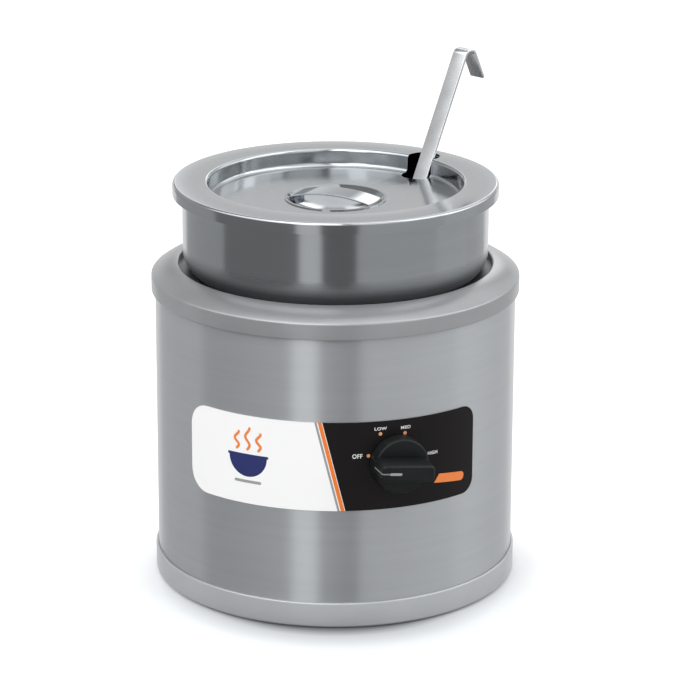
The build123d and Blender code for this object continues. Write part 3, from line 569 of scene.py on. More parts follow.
@dataclass(frozen=True)
class Finish:
    """A surface finish with its slot in the record."""

    name: str
    slot: str
    colour: Colour
    second: Colour
    roughness: float = 0.4
    spread: float = 0.1
    metallic: float = 0.0
    bump: float = 0.1
    fine: float = 1800.0
    coarse: float = 9.0
    grain: bool = False
    stretch: float = 0.0
    specular: float = 0.5
    coat: float = 0.0
    wear: Colour | None = None
    # Painted shade: heights in metres, each with the share of the colour left there.
    shade: tuple[tuple[float, float], ...] = ()
    belt_roughness: float = 0.7

    def build(self, effects: Effects) -> bpy.types.Material:
        """Make the material.

        Args:
            effects: The shared node groups.

        Returns:
            The material.
        """
        material = bpy.data.materials.new(self.name)
        material.use_nodes = True
        nodes, links = material.node_tree.nodes, material.node_tree.links
        shader = nodes["Principled BSDF"]
        shader.inputs["Metallic"].default_value = self.metallic
        shader.inputs["Specular IOR Level"].default_value = self.specular
        if self.coat > 0:
            shader.inputs["Coat Weight"].default_value = self.coat
            shader.inputs["Coat Roughness"].default_value = 0.12
        if self.stretch > 0:
            shader.inputs["Anisotropic"].default_value = self.stretch
            shader.inputs["Anisotropic Rotation"].default_value = 0.25
            tangent = nodes.new("ShaderNodeTangent")
            tangent.direction_type = "RADIAL"
            tangent.axis = "Z"
            links.new(tangent.outputs[0], shader.inputs["Tangent"])
        effect = nodes.new("ShaderNodeGroup")
        if self.grain:
            effect.node_tree = effects.turned
            effect.inputs["Fine"].default_value = self.fine
            effect.inputs["Coarse"].default_value = self.coarse
            fine, broad = effect.outputs["Streak"], effect.outputs["Band"]
        else:
            effect.node_tree = effects.cloud
            effect.inputs["Patch"].default_value = self.coarse
            effect.inputs["Grit"].default_value = self.fine
            fine, broad = effect.outputs["Grit"], effect.outputs["Patch"]
        tone = self._mixed(material, broad, self.colour, self.second)
        if self.wear is not None:
            tone = self._worn(material, effects, tone)
        # The shade belt paints shade into the colour by height and adds roughness there.
        belt = self._painted_shade_belt(material) if self.shade else None
        if belt is not None:
            tone = self._shaded(material, belt, tone)
        links.new(tone, shader.inputs["Base Color"])
        rough = nodes.new("ShaderNodeMapRange")
        rough.inputs["From Min"].default_value = 0.3
        rough.inputs["From Max"].default_value = 0.7
        rough.inputs["To Min"].default_value = max(0.02, self.roughness - self.spread / 2)
        rough.inputs["To Max"].default_value = self.roughness + self.spread / 2
        links.new(broad, rough.inputs["Value"])
        belt_blurred_roughness = rough.outputs[0]
        if belt is not None:
            dull = Effects._math(material.node_tree, "MULTIPLY_ADD", belt, -self.belt_roughness, self.belt_roughness)
            belt_blurred_roughness = Effects._math(material.node_tree, "ADD", belt_blurred_roughness, dull)
        links.new(belt_blurred_roughness, shader.inputs["Roughness"])
        bump = nodes.new("ShaderNodeBump")
        bump.inputs["Strength"].default_value = self.bump
        bump.inputs["Distance"].default_value = 0.0002
        links.new(fine, bump.inputs["Height"])
        links.new(bump.outputs[0], shader.inputs["Normal"])
        return material

    @staticmethod
    def _mixed(material: bpy.types.Material, mask: bpy.types.NodeSocket, low: Colour, high: Colour) -> bpy.types.NodeSocket:
        """Blend two colours by a mask."""
        ramp = material.node_tree.nodes.new("ShaderNodeValToRGB")
        ramp.color_ramp.elements[0].position = 0.35
        ramp.color_ramp.elements[1].position = 0.65
        ramp.color_ramp.elements[0].color = (*low, 1)
        ramp.color_ramp.elements[1].color = (*high, 1)
        material.node_tree.links.new(mask, ramp.inputs[0])
        return ramp.outputs[0]

    def _painted_shade_belt(self, material: bpy.types.Material) -> bpy.types.NodeSocket:
        """Share of the colour left at each height, from the finish's heights in metres, as a belt of painted shade."""
        nodes, links = material.node_tree.nodes, material.node_tree.links
        split = nodes.new("ShaderNodeSeparateXYZ")
        links.new(nodes.new("ShaderNodeTexCoord").outputs["Object"], split.inputs[0])
        level = nodes.new("ShaderNodeMapRange")
        bottom, top = self.shade[0][0], self.shade[-1][0]
        level.inputs["From Min"].default_value, level.inputs["From Max"].default_value = bottom, top
        links.new(split.outputs["Z"], level.inputs["Value"])
        ramp = nodes.new("ShaderNodeValToRGB")
        elements = ramp.color_ramp.elements
        for index, (height, left) in enumerate(self.shade):
            place = (height - bottom) / (top - bottom)
            element = elements[index] if index < 2 else elements.new(place)
            element.position, element.color = place, (left, left, left, 1)
        links.new(level.outputs[0], ramp.inputs[0])
        return ramp.outputs[0]

    @staticmethod
    def _shaded(material: bpy.types.Material, belt: bpy.types.NodeSocket, tone: bpy.types.NodeSocket) -> bpy.types.NodeSocket:
        """Darken the colour where the belt is dark, as painted shade."""
        nodes, links = material.node_tree.nodes, material.node_tree.links
        mix = nodes.new("ShaderNodeMix")
        mix.data_type, mix.blend_type = "RGBA", "MULTIPLY"
        mix.inputs["Factor"].default_value = 1.0
        links.new(tone, mix.inputs["A"])
        links.new(belt, mix.inputs["B"])
        return mix.outputs["Result"]

    def _worn(self, material: bpy.types.Material, effects: Effects, tone: bpy.types.NodeSocket) -> bpy.types.NodeSocket:
        """Lay the wear colour over the outer edges."""
        nodes, links = material.node_tree.nodes, material.node_tree.links
        group = nodes.new("ShaderNodeGroup")
        group.node_tree = effects.wear
        mix = nodes.new("ShaderNodeMix")
        mix.data_type = "RGBA"
        links.new(group.outputs["Mask"], mix.inputs["Factor"])
        links.new(tone, mix.inputs["A"])
        mix.inputs["B"].default_value = (*self.wear, 1)
        return mix.outputs["Result"]


SHELL_STEEL = Finish("brushed_shell_steel", "brushed_shell", (0.495, 0.515, 0.535), (0.515, 0.535, 0.555), 0.31, 0.02,
                     metallic=0.75, bump=0.05, fine=2600.0, coarse=6.0, grain=True, stretch=0.95)
# The pot's shade belt is painted shade over its shoulder, standing for the dark gap at the ring mirrored in it. The
# belt's roughness blurs that mirrored gap.
POT_STEEL = Finish("spun_pot_steel", "pot_steel", (0.385, 0.405, 0.42), (0.405, 0.425, 0.44), 0.16, 0.02,
                   metallic=1.0, bump=0.05, fine=1500.0, coarse=7.0, grain=True, stretch=0.5,
                   shade=((0.270, 0.85), (0.279, 0.45), (0.291, 0.50), (0.303, 1.0)))
COVER_STEEL = Finish("spun_cover_steel", "cover_steel", (0.40, 0.42, 0.435), (0.42, 0.44, 0.455), 0.14, 0.02,
                     metallic=1.0, bump=0.05, fine=1500.0, coarse=7.0, grain=True, stretch=0.3)
# The well's colour is darkened as painted shade, so that its flange mirrored in the pot's shoulder reads dark.
WELL_STEEL = Finish("shade_darkened_well_steel", "well_steel", (0.17, 0.175, 0.18), (0.21, 0.215, 0.22), 0.42, 0.08,
                    metallic=1.0, bump=0.06, fine=1200.0, coarse=7.0, grain=True)
LADLE_STEEL = Finish("satin_ladle_steel", "ladle_steel", (0.60, 0.615, 0.63), (0.68, 0.695, 0.71), 0.24, 0.10,
                     metallic=1.0, bump=0.08, fine=900.0, coarse=30.0)
MIRROR_STEEL = Finish("polished_cup_steel", "polished_steel", (0.34, 0.36, 0.38), (0.38, 0.40, 0.42), 0.05, 0.03,
                      metallic=1.0, bump=0.01, fine=700.0, coarse=40.0)
RING_PAINT = Finish("satin_ring_grey", "ring_grey", (0.33, 0.34, 0.35), (0.35, 0.36, 0.37), 0.30, 0.03,
                    metallic=0.45, bump=0.04, fine=1500.0, coarse=20.0, coat=0.1, wear=(0.42, 0.43, 0.44))
BASE_PAINT = Finish("satin_base_grey", "base_grey", (0.47, 0.485, 0.50), (0.50, 0.515, 0.53), 0.38, 0.06,
                    metallic=0.25, bump=0.04, fine=1500.0, coarse=20.0, coat=0.1, wear=(0.60, 0.61, 0.62))
KNOB_BLACK = Finish("knob_black_phenolic", "knob_black", (0.006, 0.0075, 0.008), (0.009, 0.0105, 0.011), 0.42, 0.12,
                    bump=0.1, fine=2600.0, coarse=60.0, specular=0.24, wear=(0.05, 0.052, 0.055))
POINTER_PALE = Finish("pale_pointer_fill", "pointer_white", (0.26, 0.27, 0.27), (0.32, 0.33, 0.33), 0.5, 0.1)
POINTER_GREY = Finish("grey_pointer_fill", "pointer_white", (0.15, 0.155, 0.155), (0.20, 0.205, 0.205), 0.5, 0.1)
RUBBER_BLACK = Finish("black_rubber", "rubber_black", (0.018, 0.018, 0.018), (0.028, 0.028, 0.028), 0.7, 0.1,
                      bump=0.2, fine=900.0, coarse=60.0)
ZINC = Finish("zinc_plate", "zinc", (0.50, 0.50, 0.48), (0.60, 0.60, 0.60), 0.32, 0.15, metallic=1.0, fine=900.0, coarse=60.0)
GALVANISED = Finish("galvanised_sheet", "galvanised", (0.42, 0.43, 0.44), (0.52, 0.53, 0.54), 0.45, 0.2,
                    metallic=1.0, bump=0.1, fine=500.0, coarse=70.0)
SHEATH = Finish("dark_element_sheath", "sheath_dark", (0.07, 0.06, 0.055), (0.12, 0.10, 0.09), 0.5, 0.2, metallic=1.0)
BLANKET = Finish("fibre_blanket", "insulation_white", (0.70, 0.67, 0.60), (0.80, 0.78, 0.72), 0.95, 0.05, bump=0.8,
                 fine=600.0, coarse=40.0)
PHENOLIC = Finish("thermostat_phenolic", "phenolic_black", (0.012, 0.011, 0.011), (0.02, 0.018, 0.018), 0.45, 0.1)
BRASS = Finish("plain_brass", "brass_tab", (0.50, 0.36, 0.12), (0.58, 0.44, 0.18), 0.3, 0.1, metallic=1.0)
COPPER = Finish("drawn_copper", "copper_tube", (0.48, 0.20, 0.10), (0.58, 0.28, 0.16), 0.3, 0.15, metallic=1.0)
GLAND_NYLON = Finish("gland_nylon", "gland_black", (0.012, 0.012, 0.012), (0.02, 0.02, 0.02), 0.45, 0.1,
                     fine=1500.0, coarse=60.0)
BLOCK_NYLON = Finish("block_nylon", "block_white", (0.66, 0.64, 0.57), (0.72, 0.70, 0.64), 0.5, 0.1)
WIRE_BLACK = Finish("black_wire_sleeve", "wire_black", (0.012, 0.012, 0.012), (0.02, 0.02, 0.02), 0.5, 0.1)
WIRE_RED = Finish("red_wire_sleeve", "wire_red", (0.32, 0.01, 0.008), (0.40, 0.015, 0.01), 0.5, 0.1)
WIRE_WHITE = Finish("white_wire_sleeve", "wire_white", (0.72, 0.72, 0.70), (0.80, 0.80, 0.78), 0.5, 0.1)
WIRE_GREEN = Finish("green_wire_sleeve", "wire_green", (0.01, 0.16, 0.03), (0.015, 0.22, 0.05), 0.5, 0.1)
INK_WHITE = Finish("white_ink", "panel_print", (0.78, 0.78, 0.78), (0.82, 0.82, 0.82), 0.4, 0.05, bump=0.02)
INK_ORANGE = Finish("orange_ink", "panel_print", (0.80, 0.20, 0.035), (0.84, 0.23, 0.045), 0.4, 0.05, bump=0.02)
INK_AMBER = Finish("amber_ink", "panel_print", (0.74, 0.33, 0.15), (0.80, 0.38, 0.19), 0.4, 0.05, bump=0.02)
INK_NAVY = Finish("navy_ink", "panel_print", (0.012, 0.02, 0.12), (0.016, 0.026, 0.15), 0.4, 0.05, bump=0.02)
INK_GREY = Finish("grey_ink", "panel_print", (0.30, 0.30, 0.30), (0.34, 0.34, 0.34), 0.4, 0.05, bump=0.02)
ALL_FINISHES = (SHELL_STEEL, POT_STEEL, COVER_STEEL, WELL_STEEL, LADLE_STEEL, MIRROR_STEEL, RING_PAINT, BASE_PAINT,
                KNOB_BLACK, POINTER_PALE, POINTER_GREY, RUBBER_BLACK, ZINC, GALVANISED, SHEATH, BLANKET, PHENOLIC, BRASS,
                COPPER, GLAND_NYLON, BLOCK_NYLON, WIRE_BLACK, WIRE_RED, WIRE_WHITE, WIRE_GREEN, INK_WHITE, INK_ORANGE,
                INK_AMBER, INK_NAVY, INK_GREY)


class Workshop:
    """Materials, patterns and the ways of finishing a piece, shared by the sub-assemblies."""

    def __init__(self, frame: dict) -> None:
        """Build every material once.
        """
        self.frame = frame
        self.effects = Effects()
        self.pattern = Pattern()
        self.finishes = {finish: finish.build(self.effects) for finish in ALL_FINISHES}

    def dress(self, piece: bpy.types.Object, finish: Finish, body: Body, *nodes: str) -> bpy.types.Object:
        """Give a piece its material and body, and hide the CAD nodes that it stands for.

        Args:
            piece: The finished mesh.
            finish: Its finish.
            body: The body that it rides on.
            nodes: The CAD nodes that it replaces.

        Returns:
            The piece.
        """
        piece.data.materials.clear()
        piece.data.materials.append(self.finishes[finish])
        return self.carry(piece, finish.slot, body, *nodes)

    def carry(self, piece: bpy.types.Object, slot: str, body: Body, *nodes: str) -> bpy.types.Object:
        """Set a piece on its body once its material is in place."""
        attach(piece, body.value)
        if nodes:
            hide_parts(*nodes)
        LOG.info("%s: %d faces on %s", piece.name, len(piece.data.polygons), body.value)
        return piece


def radial_matrix(angle: float) -> Matrix:
    """Upright plane through the axis: x runs outward at the angle in degrees, y runs up."""
    turn = radians(angle)
    out, up = Vector((cos(turn), sin(turn), 0)), Vector((0, 0, 1))
    side = out.cross(up)
    return Matrix((out, up, side)).transposed().to_4x4()


# Sub-assemblies


@dataclass
class Cabinet:
    """Shell, top ring, base ring and the fittings under the floor."""

    shell_radius: float = 158.7
    shell_wall: float = 0.9
    shell_bottom: float = 12.0
    shell_top: float = 268.0
    skirt_gap: float = 0.1
    ring_radius: float = 162.0
    ring_bottom: float = 259.8
    band_top: float = 272.4
    shoulder_radius: float = 2.6
    shoulder_turn: float = 54.0
    ring_opening: float = 137.8
    ring_top: float = 284.2
    flange_top: float = 278.0
    clamp_outer: float = 150.0
    base_radius: float = 161.0
    base_low: float = 1.5
    base_high: float = 23.5
    ledge_low: float = 9.2
    ledge_width: float = 10.8
    well_radius: float = 124.5
    well_floor: float = 113.0
    flange_radius: float = 149.0
    foot_circle: float = 118.0
    foot_radius: float = 13.0
    foot_height: float = 8.0
    foot_count: int = 4
    rod_circle: float = 144.5
    rod_count: int = 3
    rod_start: float = 10.0

    def build(self, shop: Workshop) -> None:
        """Make and dress the cabinet's pieces."""
        self.shell(shop)
        self.rings(shop)
        self.well(shop)
        self.fittings(shop)

    def shell(self, shop: Workshop) -> None:
        """Rolled shell, open at both ends."""
        inner = self.shell_radius - self.shell_wall
        outline = [(self.shell_radius, self.shell_bottom), (self.shell_radius, self.shell_top),
                   (inner, self.shell_top), (inner, self.shell_bottom)]
        shop.dress(lathe("outer_shell_skin", outline, segments=320), SHELL_STEEL, Body.WARMER, "outer_shell")

    def dome(self) -> list[Point2]:
        """The top ring's outside, from its skirt round the shoulder and over the dome to its lip."""
        turn = self.shoulder_turn
        first = arc((self.ring_radius - self.shoulder_radius, self.band_top), self.shoulder_radius, 0, turn, 10)
        way = (-sin(radians(turn)), cos(radians(turn)))
        last = self.tangent_arc(first[-1], way, (self.ring_opening, self.ring_top))
        return [(self.ring_radius, self.ring_bottom), *first, *last[1:]]

    @staticmethod
    def tangent_arc(start: Point2, way: Point2, end: Point2, steps: int = 16) -> list[Point2]:
        """Arc from a point in a direction to another point.

        Args:
            start: Where it starts.
            way: Its direction there.
            end: Where it ends.
            steps: Its divisions.

        Returns:
            The arc's points.
        """
        origin, along, chord = Vector(start), Vector(way).normalized(), Vector(end) - Vector(start)
        normal = Vector((-along.y, along.x))
        radius = chord.length_squared / (2 * chord.dot(normal))
        centre = origin + normal * radius
        turn = 2 * atan2(chord.dot(normal), chord.dot(along))
        points = []
        for step in range(steps + 1):
            angle = turn * step / steps
            points.append(tuple(centre - normal * radius * cos(angle) + along * radius * sin(angle)))
        return points

    def rings(self, shop: Workshop) -> None:
        """Domed top ring and the base ring with its ledge."""
        skirt = self.shell_radius + self.skirt_gap
        inner = self.shell_radius - self.shell_wall
        dome = self.dome()
        lip = filleted([dome[-2], dome[-1], (self.ring_opening, self.flange_top)], [1.4], 5)
        outline = dome[:-1] + lip[1:] + [(self.clamp_outer, self.flange_top), (inner - 1.5, self.shell_top),
                                         (skirt, self.shell_top), (skirt, self.ring_bottom)]
        foot = filleted([(skirt, self.ring_bottom), (self.ring_radius, self.ring_bottom), dome[1]], [0.8], 4)
        outline = foot[1:-1] + outline[1:]
        shop.dress(lathe("top_ring_dome", outline, segments=320), RING_PAINT, Body.WARMER, "top_ring")
        high = self.base_high
        bead = filleted([(skirt, high - 1), (skirt, high), (self.base_radius, high), (self.base_radius, high - 4)], [0.6, 1.4], 6)
        toe = filleted([(self.base_radius, high - 5), (self.base_radius, self.base_low), (skirt, self.base_low)], [1.8], 6)
        ledge = skirt - self.ledge_width
        outline = bead[1:-1] + toe[1:] + [(skirt, self.ledge_low), (ledge, self.ledge_low),
                                          (ledge, self.shell_bottom), (skirt, self.shell_bottom)]
        shop.dress(lathe("base_ring_band", outline, segments=320), BASE_PAINT, Body.WARMER, "base_ring")

    def well(self, shop: Workshop) -> None:
        """Drawn water well with its rounded mouth and flange."""
        path = filleted([(0, self.well_floor), (self.well_radius, self.well_floor), (self.well_radius, self.flange_top),
                         (self.flange_radius, self.flange_top)], [12.0, 3.0], 8)
        outline = thickened(path, 1.0, Side.RIGHT)
        shop.dress(lathe("water_well", outline), WELL_STEEL, Body.WARMER, "well_liner")

    def fittings(self, shop: Workshop) -> None:
        """Rubber feet with their screws, and the rods' nuts, in even rings."""
        high = self.foot_height
        foot = filleted([(5.6, 0), (self.foot_radius, 0), (self.foot_radius - 0.8, high)], [1.5], 5)
        foot = lathe("foot", [*foot, (2.0, high), (2.0, 4.5), (5.6, 4.5)], segments=48)
        feet = shop.pattern.ring("feet", foot, self.foot_count, self.foot_circle, 45, shop.finishes[RUBBER_BLACK])
        shop.dress(feet, RUBBER_BLACK, Body.WARMER, "rubber_feet")
        head = lathe("head", filleted([(0, 2.1), (3.6, 2.1), (3.6, 4.5), (1.9, 4.5), (1.9, 12.4), (0, 12.4)],
                                      [0.9, 0.2, 0, 0.4], 4), segments=28)
        cross = slab("cross", [(-2.2, -0.35), (2.2, -0.35), (2.2, 0.35), (-2.2, 0.35)], Matrix(), 1.9, 2.9)
        other = slab("cross", [(-0.35, -2.2), (0.35, -2.2), (0.35, 2.2), (-0.35, 2.2)], Matrix(), 1.9, 2.9)
        head = cut(cut(head, cross), other)
        screws = shop.pattern.ring("foot_screw_set", head, self.foot_count, self.foot_circle, 45, shop.finishes[ZINC])
        shop.dress(screws, ZINC, Body.WARMER, "foot_screws")
        nut = slab("nut", arc((0, 0), 4.62, 0, 300, 5), Matrix(), 4.0, 8.0)
        nut = bevelled(nut, 0.35, 2)
        nuts = shop.pattern.ring("rod_nut_set", nut, self.rod_count, self.rod_circle, self.rod_start, shop.finishes[ZINC])
        shop.dress(nuts, ZINC, Body.WARMER, "rod_nuts")


@dataclass
class ControlPanel:
    """Curved printed panel with its words, dots and pictogram."""

    radius: float = 158.9
    thickness: float = 0.5
    bottom: float = 107.6
    height: float = 79.0
    start: float = -50.3
    end: float = 48.3
    left_corner: float = 20.0
    right_corner: float = 13.0
    stripe_top: float = -11.5
    stripe_lean: float = 19.7
    proud: float = 0.06
    dial_azimuth: float = 19.5
    dial_height: float = 152.5
    dot_circle: float = 23.0

    def build(self, shop: Workshop) -> None:
        """Make the panel and its print."""
        panel = self.panel()
        panel.data.materials.append(self.print_material(shop))
        shop.carry(panel, "panel_print", Body.WARMER, "faceplate")
        self.words(shop)
        self.dots(shop)
        self.pictogram(shop)
        self.bar(shop)

    def place(self, along: float, height: float, out: float) -> Vector:
        """A point on the panel, from its arc length right of the front, height and depth."""
        outer = self.radius + self.thickness
        turn = along / outer
        return Vector(((outer + out) * sin(turn), -(outer + out) * cos(turn), height))

    def wrapped(self, name: str, outline: Sequence[Point2], low: float, high: float, step: float = 3.0) -> bpy.types.Object:
        """Wrap a flat outline onto the panel as a thin solid.

        Args:
            name: The piece's name.
            outline: Closed points of arc length and height.
            low: How far inside the panel's face it starts.
            high: How far outside it ends.
            step: The widest facet along the curve.

        Returns:
            The wrapped piece.
        """
        shape = bmesh.new()
        face = shape.faces.new([shape.verts.new((x, y, 0)) for x, y in outline])
        left, right = min(x for x, _ in outline), max(x for x, _ in outline)
        for index in range(1, ceil((right - left) / step)):
            at = left + index * step
            bmesh.ops.bisect_plane(shape, geom=shape.verts[:] + shape.edges[:] + shape.faces[:],
                                   plane_co=(at, 0, 0), plane_no=(1, 0, 0))
        raised = bmesh.ops.extrude_face_region(shape, geom=shape.faces[:])
        top = [item for item in raised["geom"] if isinstance(item, bmesh.types.BMVert)]
        bmesh.ops.translate(shape, verts=top, vec=(0, 0, 1))
        for vertex in shape.verts:
            out = high if vertex.co.z > 0.5 else low
            vertex.co = self.place(vertex.co.x, vertex.co.y, out) * MM
        bmesh.ops.recalc_face_normals(shape, faces=shape.faces)
        mesh = bpy.data.meshes.new(name)
        shape.to_mesh(mesh)
        shape.free()
        piece = link(name, mesh)
        smooth(piece)
        return piece

    def panel(self) -> bpy.types.Object:
        """The rounded panel, wrapped round the shell."""
        outer = self.radius + self.thickness
        left, right = radians(self.start) * outer, radians(self.end) * outer
        low, high = self.bottom, self.bottom + self.height
        middle = (left + right) / 2
        big, small = self.left_corner, self.right_corner
        outline = filleted([(middle, low), (right, low), (right, high), (left, high), (left, low), (middle, low)],
                           [small, small, big, big], 10)[:-1]
        return self.wrapped("control_panel", outline, -self.thickness, 0.0)

    def print_material(self, shop: Workshop) -> bpy.types.Material:
        """White field, two slanted bands and a black field, each by its place on the curve."""
        material = bpy.data.materials.new("printed_panel")
        material.use_nodes = True
        tree = material.node_tree
        nodes, links = tree.nodes, tree.links
        shader = nodes["Principled BSDF"]
        calc: Callable[..., bpy.types.NodeSocket] = lambda kind, *values: Effects._math(tree, kind, *values)
        split = nodes.new("ShaderNodeSeparateXYZ")
        links.new(nodes.new("ShaderNodeTexCoord").outputs["Object"], split.inputs[0])
        x, y, z = split.outputs
        azimuth = calc("ARCTAN2", x, calc("MULTIPLY", y, -1.0))
        along = calc("MULTIPLY", azimuth, (self.radius + self.thickness) * MM)
        drop = calc("SUBTRACT", (self.bottom + self.height) * MM, z)
        line = calc("MULTIPLY_ADD", drop, self.stripe_lean / self.height, self.stripe_top * MM)
        past = calc("SUBTRACT", along, line)
        colour: bpy.types.NodeSocket | None = None
        fields = ((-5.2, (0.30, 0.31, 0.32)), (-3.2, (0.86, 0.86, 0.86)), (-2.4, (0.80, 0.20, 0.035)),
                  (1.0, (0.80, 0.80, 0.80)), (1.5, (0.0108, 0.0092, 0.0096)))
        for edge, tint in fields:
            mix = nodes.new("ShaderNodeMix")
            mix.data_type = "RGBA"
            links.new(calc("GREATER_THAN", past, edge * MM), mix.inputs["Factor"])
            if colour is None:
                mix.inputs["A"].default_value = (0.88, 0.88, 0.88, 1)
            else:
                links.new(colour, mix.inputs["A"])
            mix.inputs["B"].default_value = (*tint, 1)
            colour = mix.outputs["Result"]
        links.new(colour, shader.inputs["Base Color"])
        shader.inputs["Specular IOR Level"].default_value = 0.12
        cloud = nodes.new("ShaderNodeGroup")
        cloud.node_tree = shop.effects.cloud
        cloud.inputs["Patch"].default_value = 30.0
        rough = nodes.new("ShaderNodeMapRange")
        rough.inputs["To Min"].default_value = 0.30
        rough.inputs["To Max"].default_value = 0.42
        links.new(cloud.outputs["Patch"], rough.inputs["Value"])
        links.new(rough.outputs[0], shader.inputs["Roughness"])
        bump = nodes.new("ShaderNodeBump")
        bump.inputs["Strength"].default_value = 0.05
        bump.inputs["Distance"].default_value = 0.0002
        links.new(cloud.outputs["Grit"], bump.inputs["Height"])
        links.new(bump.outputs[0], shader.inputs["Normal"])
        return material

    def words(self, shop: Workshop) -> None:
        """The dial's words, wrapped onto the panel."""
        spots = (("OFF", 7.1, 156.3, 3.95, 0.88), ("LOW", 14.2, 179.9, 2.7, 1.2), ("MED", 22.3, 179.1, 2.7, 1.15),
                 ("HIGH", 31.7, 152.2, 2.9, 0.98))
        letters = []
        for body, azimuth, height, size, stretch in spots:
            curve = bpy.data.curves.new(body, "FONT")
            curve.body, curve.size = body, size * 1.38
            curve.align_x = curve.align_y = "CENTER"
            curve.offset, curve.extrude, curve.space_character = 0.08, 0.5, 1.08
            text = bpy.data.objects.new(body, curve)
            bpy.context.scene.collection.objects.link(text)
            graph = bpy.context.evaluated_depsgraph_get()
            mesh = bpy.data.meshes.new_from_object(text.evaluated_get(graph), depsgraph=graph)
            bpy.data.objects.remove(text)
            middle = radians(azimuth) * (self.radius + self.thickness)
            for vertex in mesh.vertices:
                out = self.proud if vertex.co.z > 0 else -0.2
                vertex.co = self.place(middle + vertex.co.x * stretch, height + vertex.co.y, out) * MM
            letters.append(link(body, mesh))
        shop.dress(joined("dial_words", letters), INK_WHITE, Body.WARMER)

    def dots(self, shop: Workshop) -> None:
        """An orange dot beside each setting."""
        spots = []
        for azimuth, height in ((10.5, 156.6), (14.2, 175.5), (22.1, 174.1), (27.2, 153.4)):
            along = radians(azimuth) * (self.radius + self.thickness)
            spot = self.place(along, height, -0.2)
            spots.append((spot, Vector((spot.x, spot.y, 0)).normalized()))
        dot = lathe("dot", [(0, 0), (1.6, 0), (1.6, 0.2 + self.proud), (0, 0.2 + self.proud)], segments=24)
        dots = shop.pattern.places("setting_dots", dot, spots, shop.finishes[INK_AMBER])
        shop.dress(dots, INK_AMBER, Body.WARMER)

    def wave(self, middle: float, low: float, high: float, swing: float, width: float) -> list[Point2]:
        """One rising wavy line of even width as a closed outline with round ends."""
        steps, turns, half = 40, 2 * pi * 1.25, width / 2
        right, left = [], []
        for step in range(steps + 1):
            share = step / steps
            spot = Vector((middle + swing * sin(turns * share), low + (high - low) * share))
            way = Vector((swing * turns * cos(turns * share), high - low)).normalized()
            side = Vector((way.y, -way.x)) * half
            right.append(tuple(spot + side))
            left.append(tuple(spot - side))
            if step in (0, steps):
                start = degrees(atan2(side.y, side.x)) + (180 if step == 0 else 0)
                end = arc(tuple(spot), half, start, 180, 8)[1:-1]
                foot, top = (end, []) if step == 0 else (foot, end)
        return right + top + left[::-1] + foot

    def pictogram(self, shop: Workshop) -> None:
        """A plain bowl under three lines of steam on the white field."""
        middle = radians(-27.5) * (self.radius + self.thickness)
        rim = 150.0
        bowl = [(middle - 19.5, rim), *arc((middle, rim), 18.2, 180, 180, 24), (middle + 19.5, rim),
                (middle + 19.5, rim + 2.3), (middle - 19.5, rim + 2.3)]
        bowl = list(dict.fromkeys(bowl))
        shop.dress(self.wrapped("pictogram_bowl", bowl, -0.2, self.proud), INK_NAVY, Body.WARMER)
        base = filleted([(middle, 126.2), (middle + 13, 126.2), (middle + 13, 128.8), (middle - 13, 128.8),
                         (middle - 13, 126.2), (middle, 126.2)], [1.2, 1.2, 1.2, 1.2], 4)[:-1]
        shop.dress(self.wrapped("pictogram_base", base, -0.2, self.proud), INK_GREY, Body.WARMER)
        waves = [self.wrapped("steam", self.wave(middle + shift, 156.5, 156.5 + tall, 2.0, 2.4), -0.2, self.proud)
                 for shift, tall in ((-10.5, 15.0), (0, 19.0), (10.5, 15.0))]
        shop.dress(joined("pictogram_steam", waves), INK_ORANGE, Body.WARMER)

    def bar(self, shop: Workshop) -> None:
        """A plain orange bar low on the black field, slanted on the left and round on the right."""
        outer = self.radius + self.thickness
        left, right = radians(32.5) * outer, radians(44.2) * outer
        low, high, slant = 122.3, 130.3, 4.2
        half = (high - low) / 2
        corners = [(left, low), *filleted([(left, low), (right, low), (right, high), (left + slant, high)],
                                          [half * 0.9] * 2, 8)[1:]]
        turn, middle = radians(-7.5), Vector(((left + right) / 2, low + half))
        outline = [tuple(Matrix.Rotation(turn, 2) @ (Vector(corner) - middle) + middle) for corner in corners]
        shop.dress(self.wrapped("orange_bar", outline, -0.2, self.proud), INK_ORANGE, Body.WARMER)


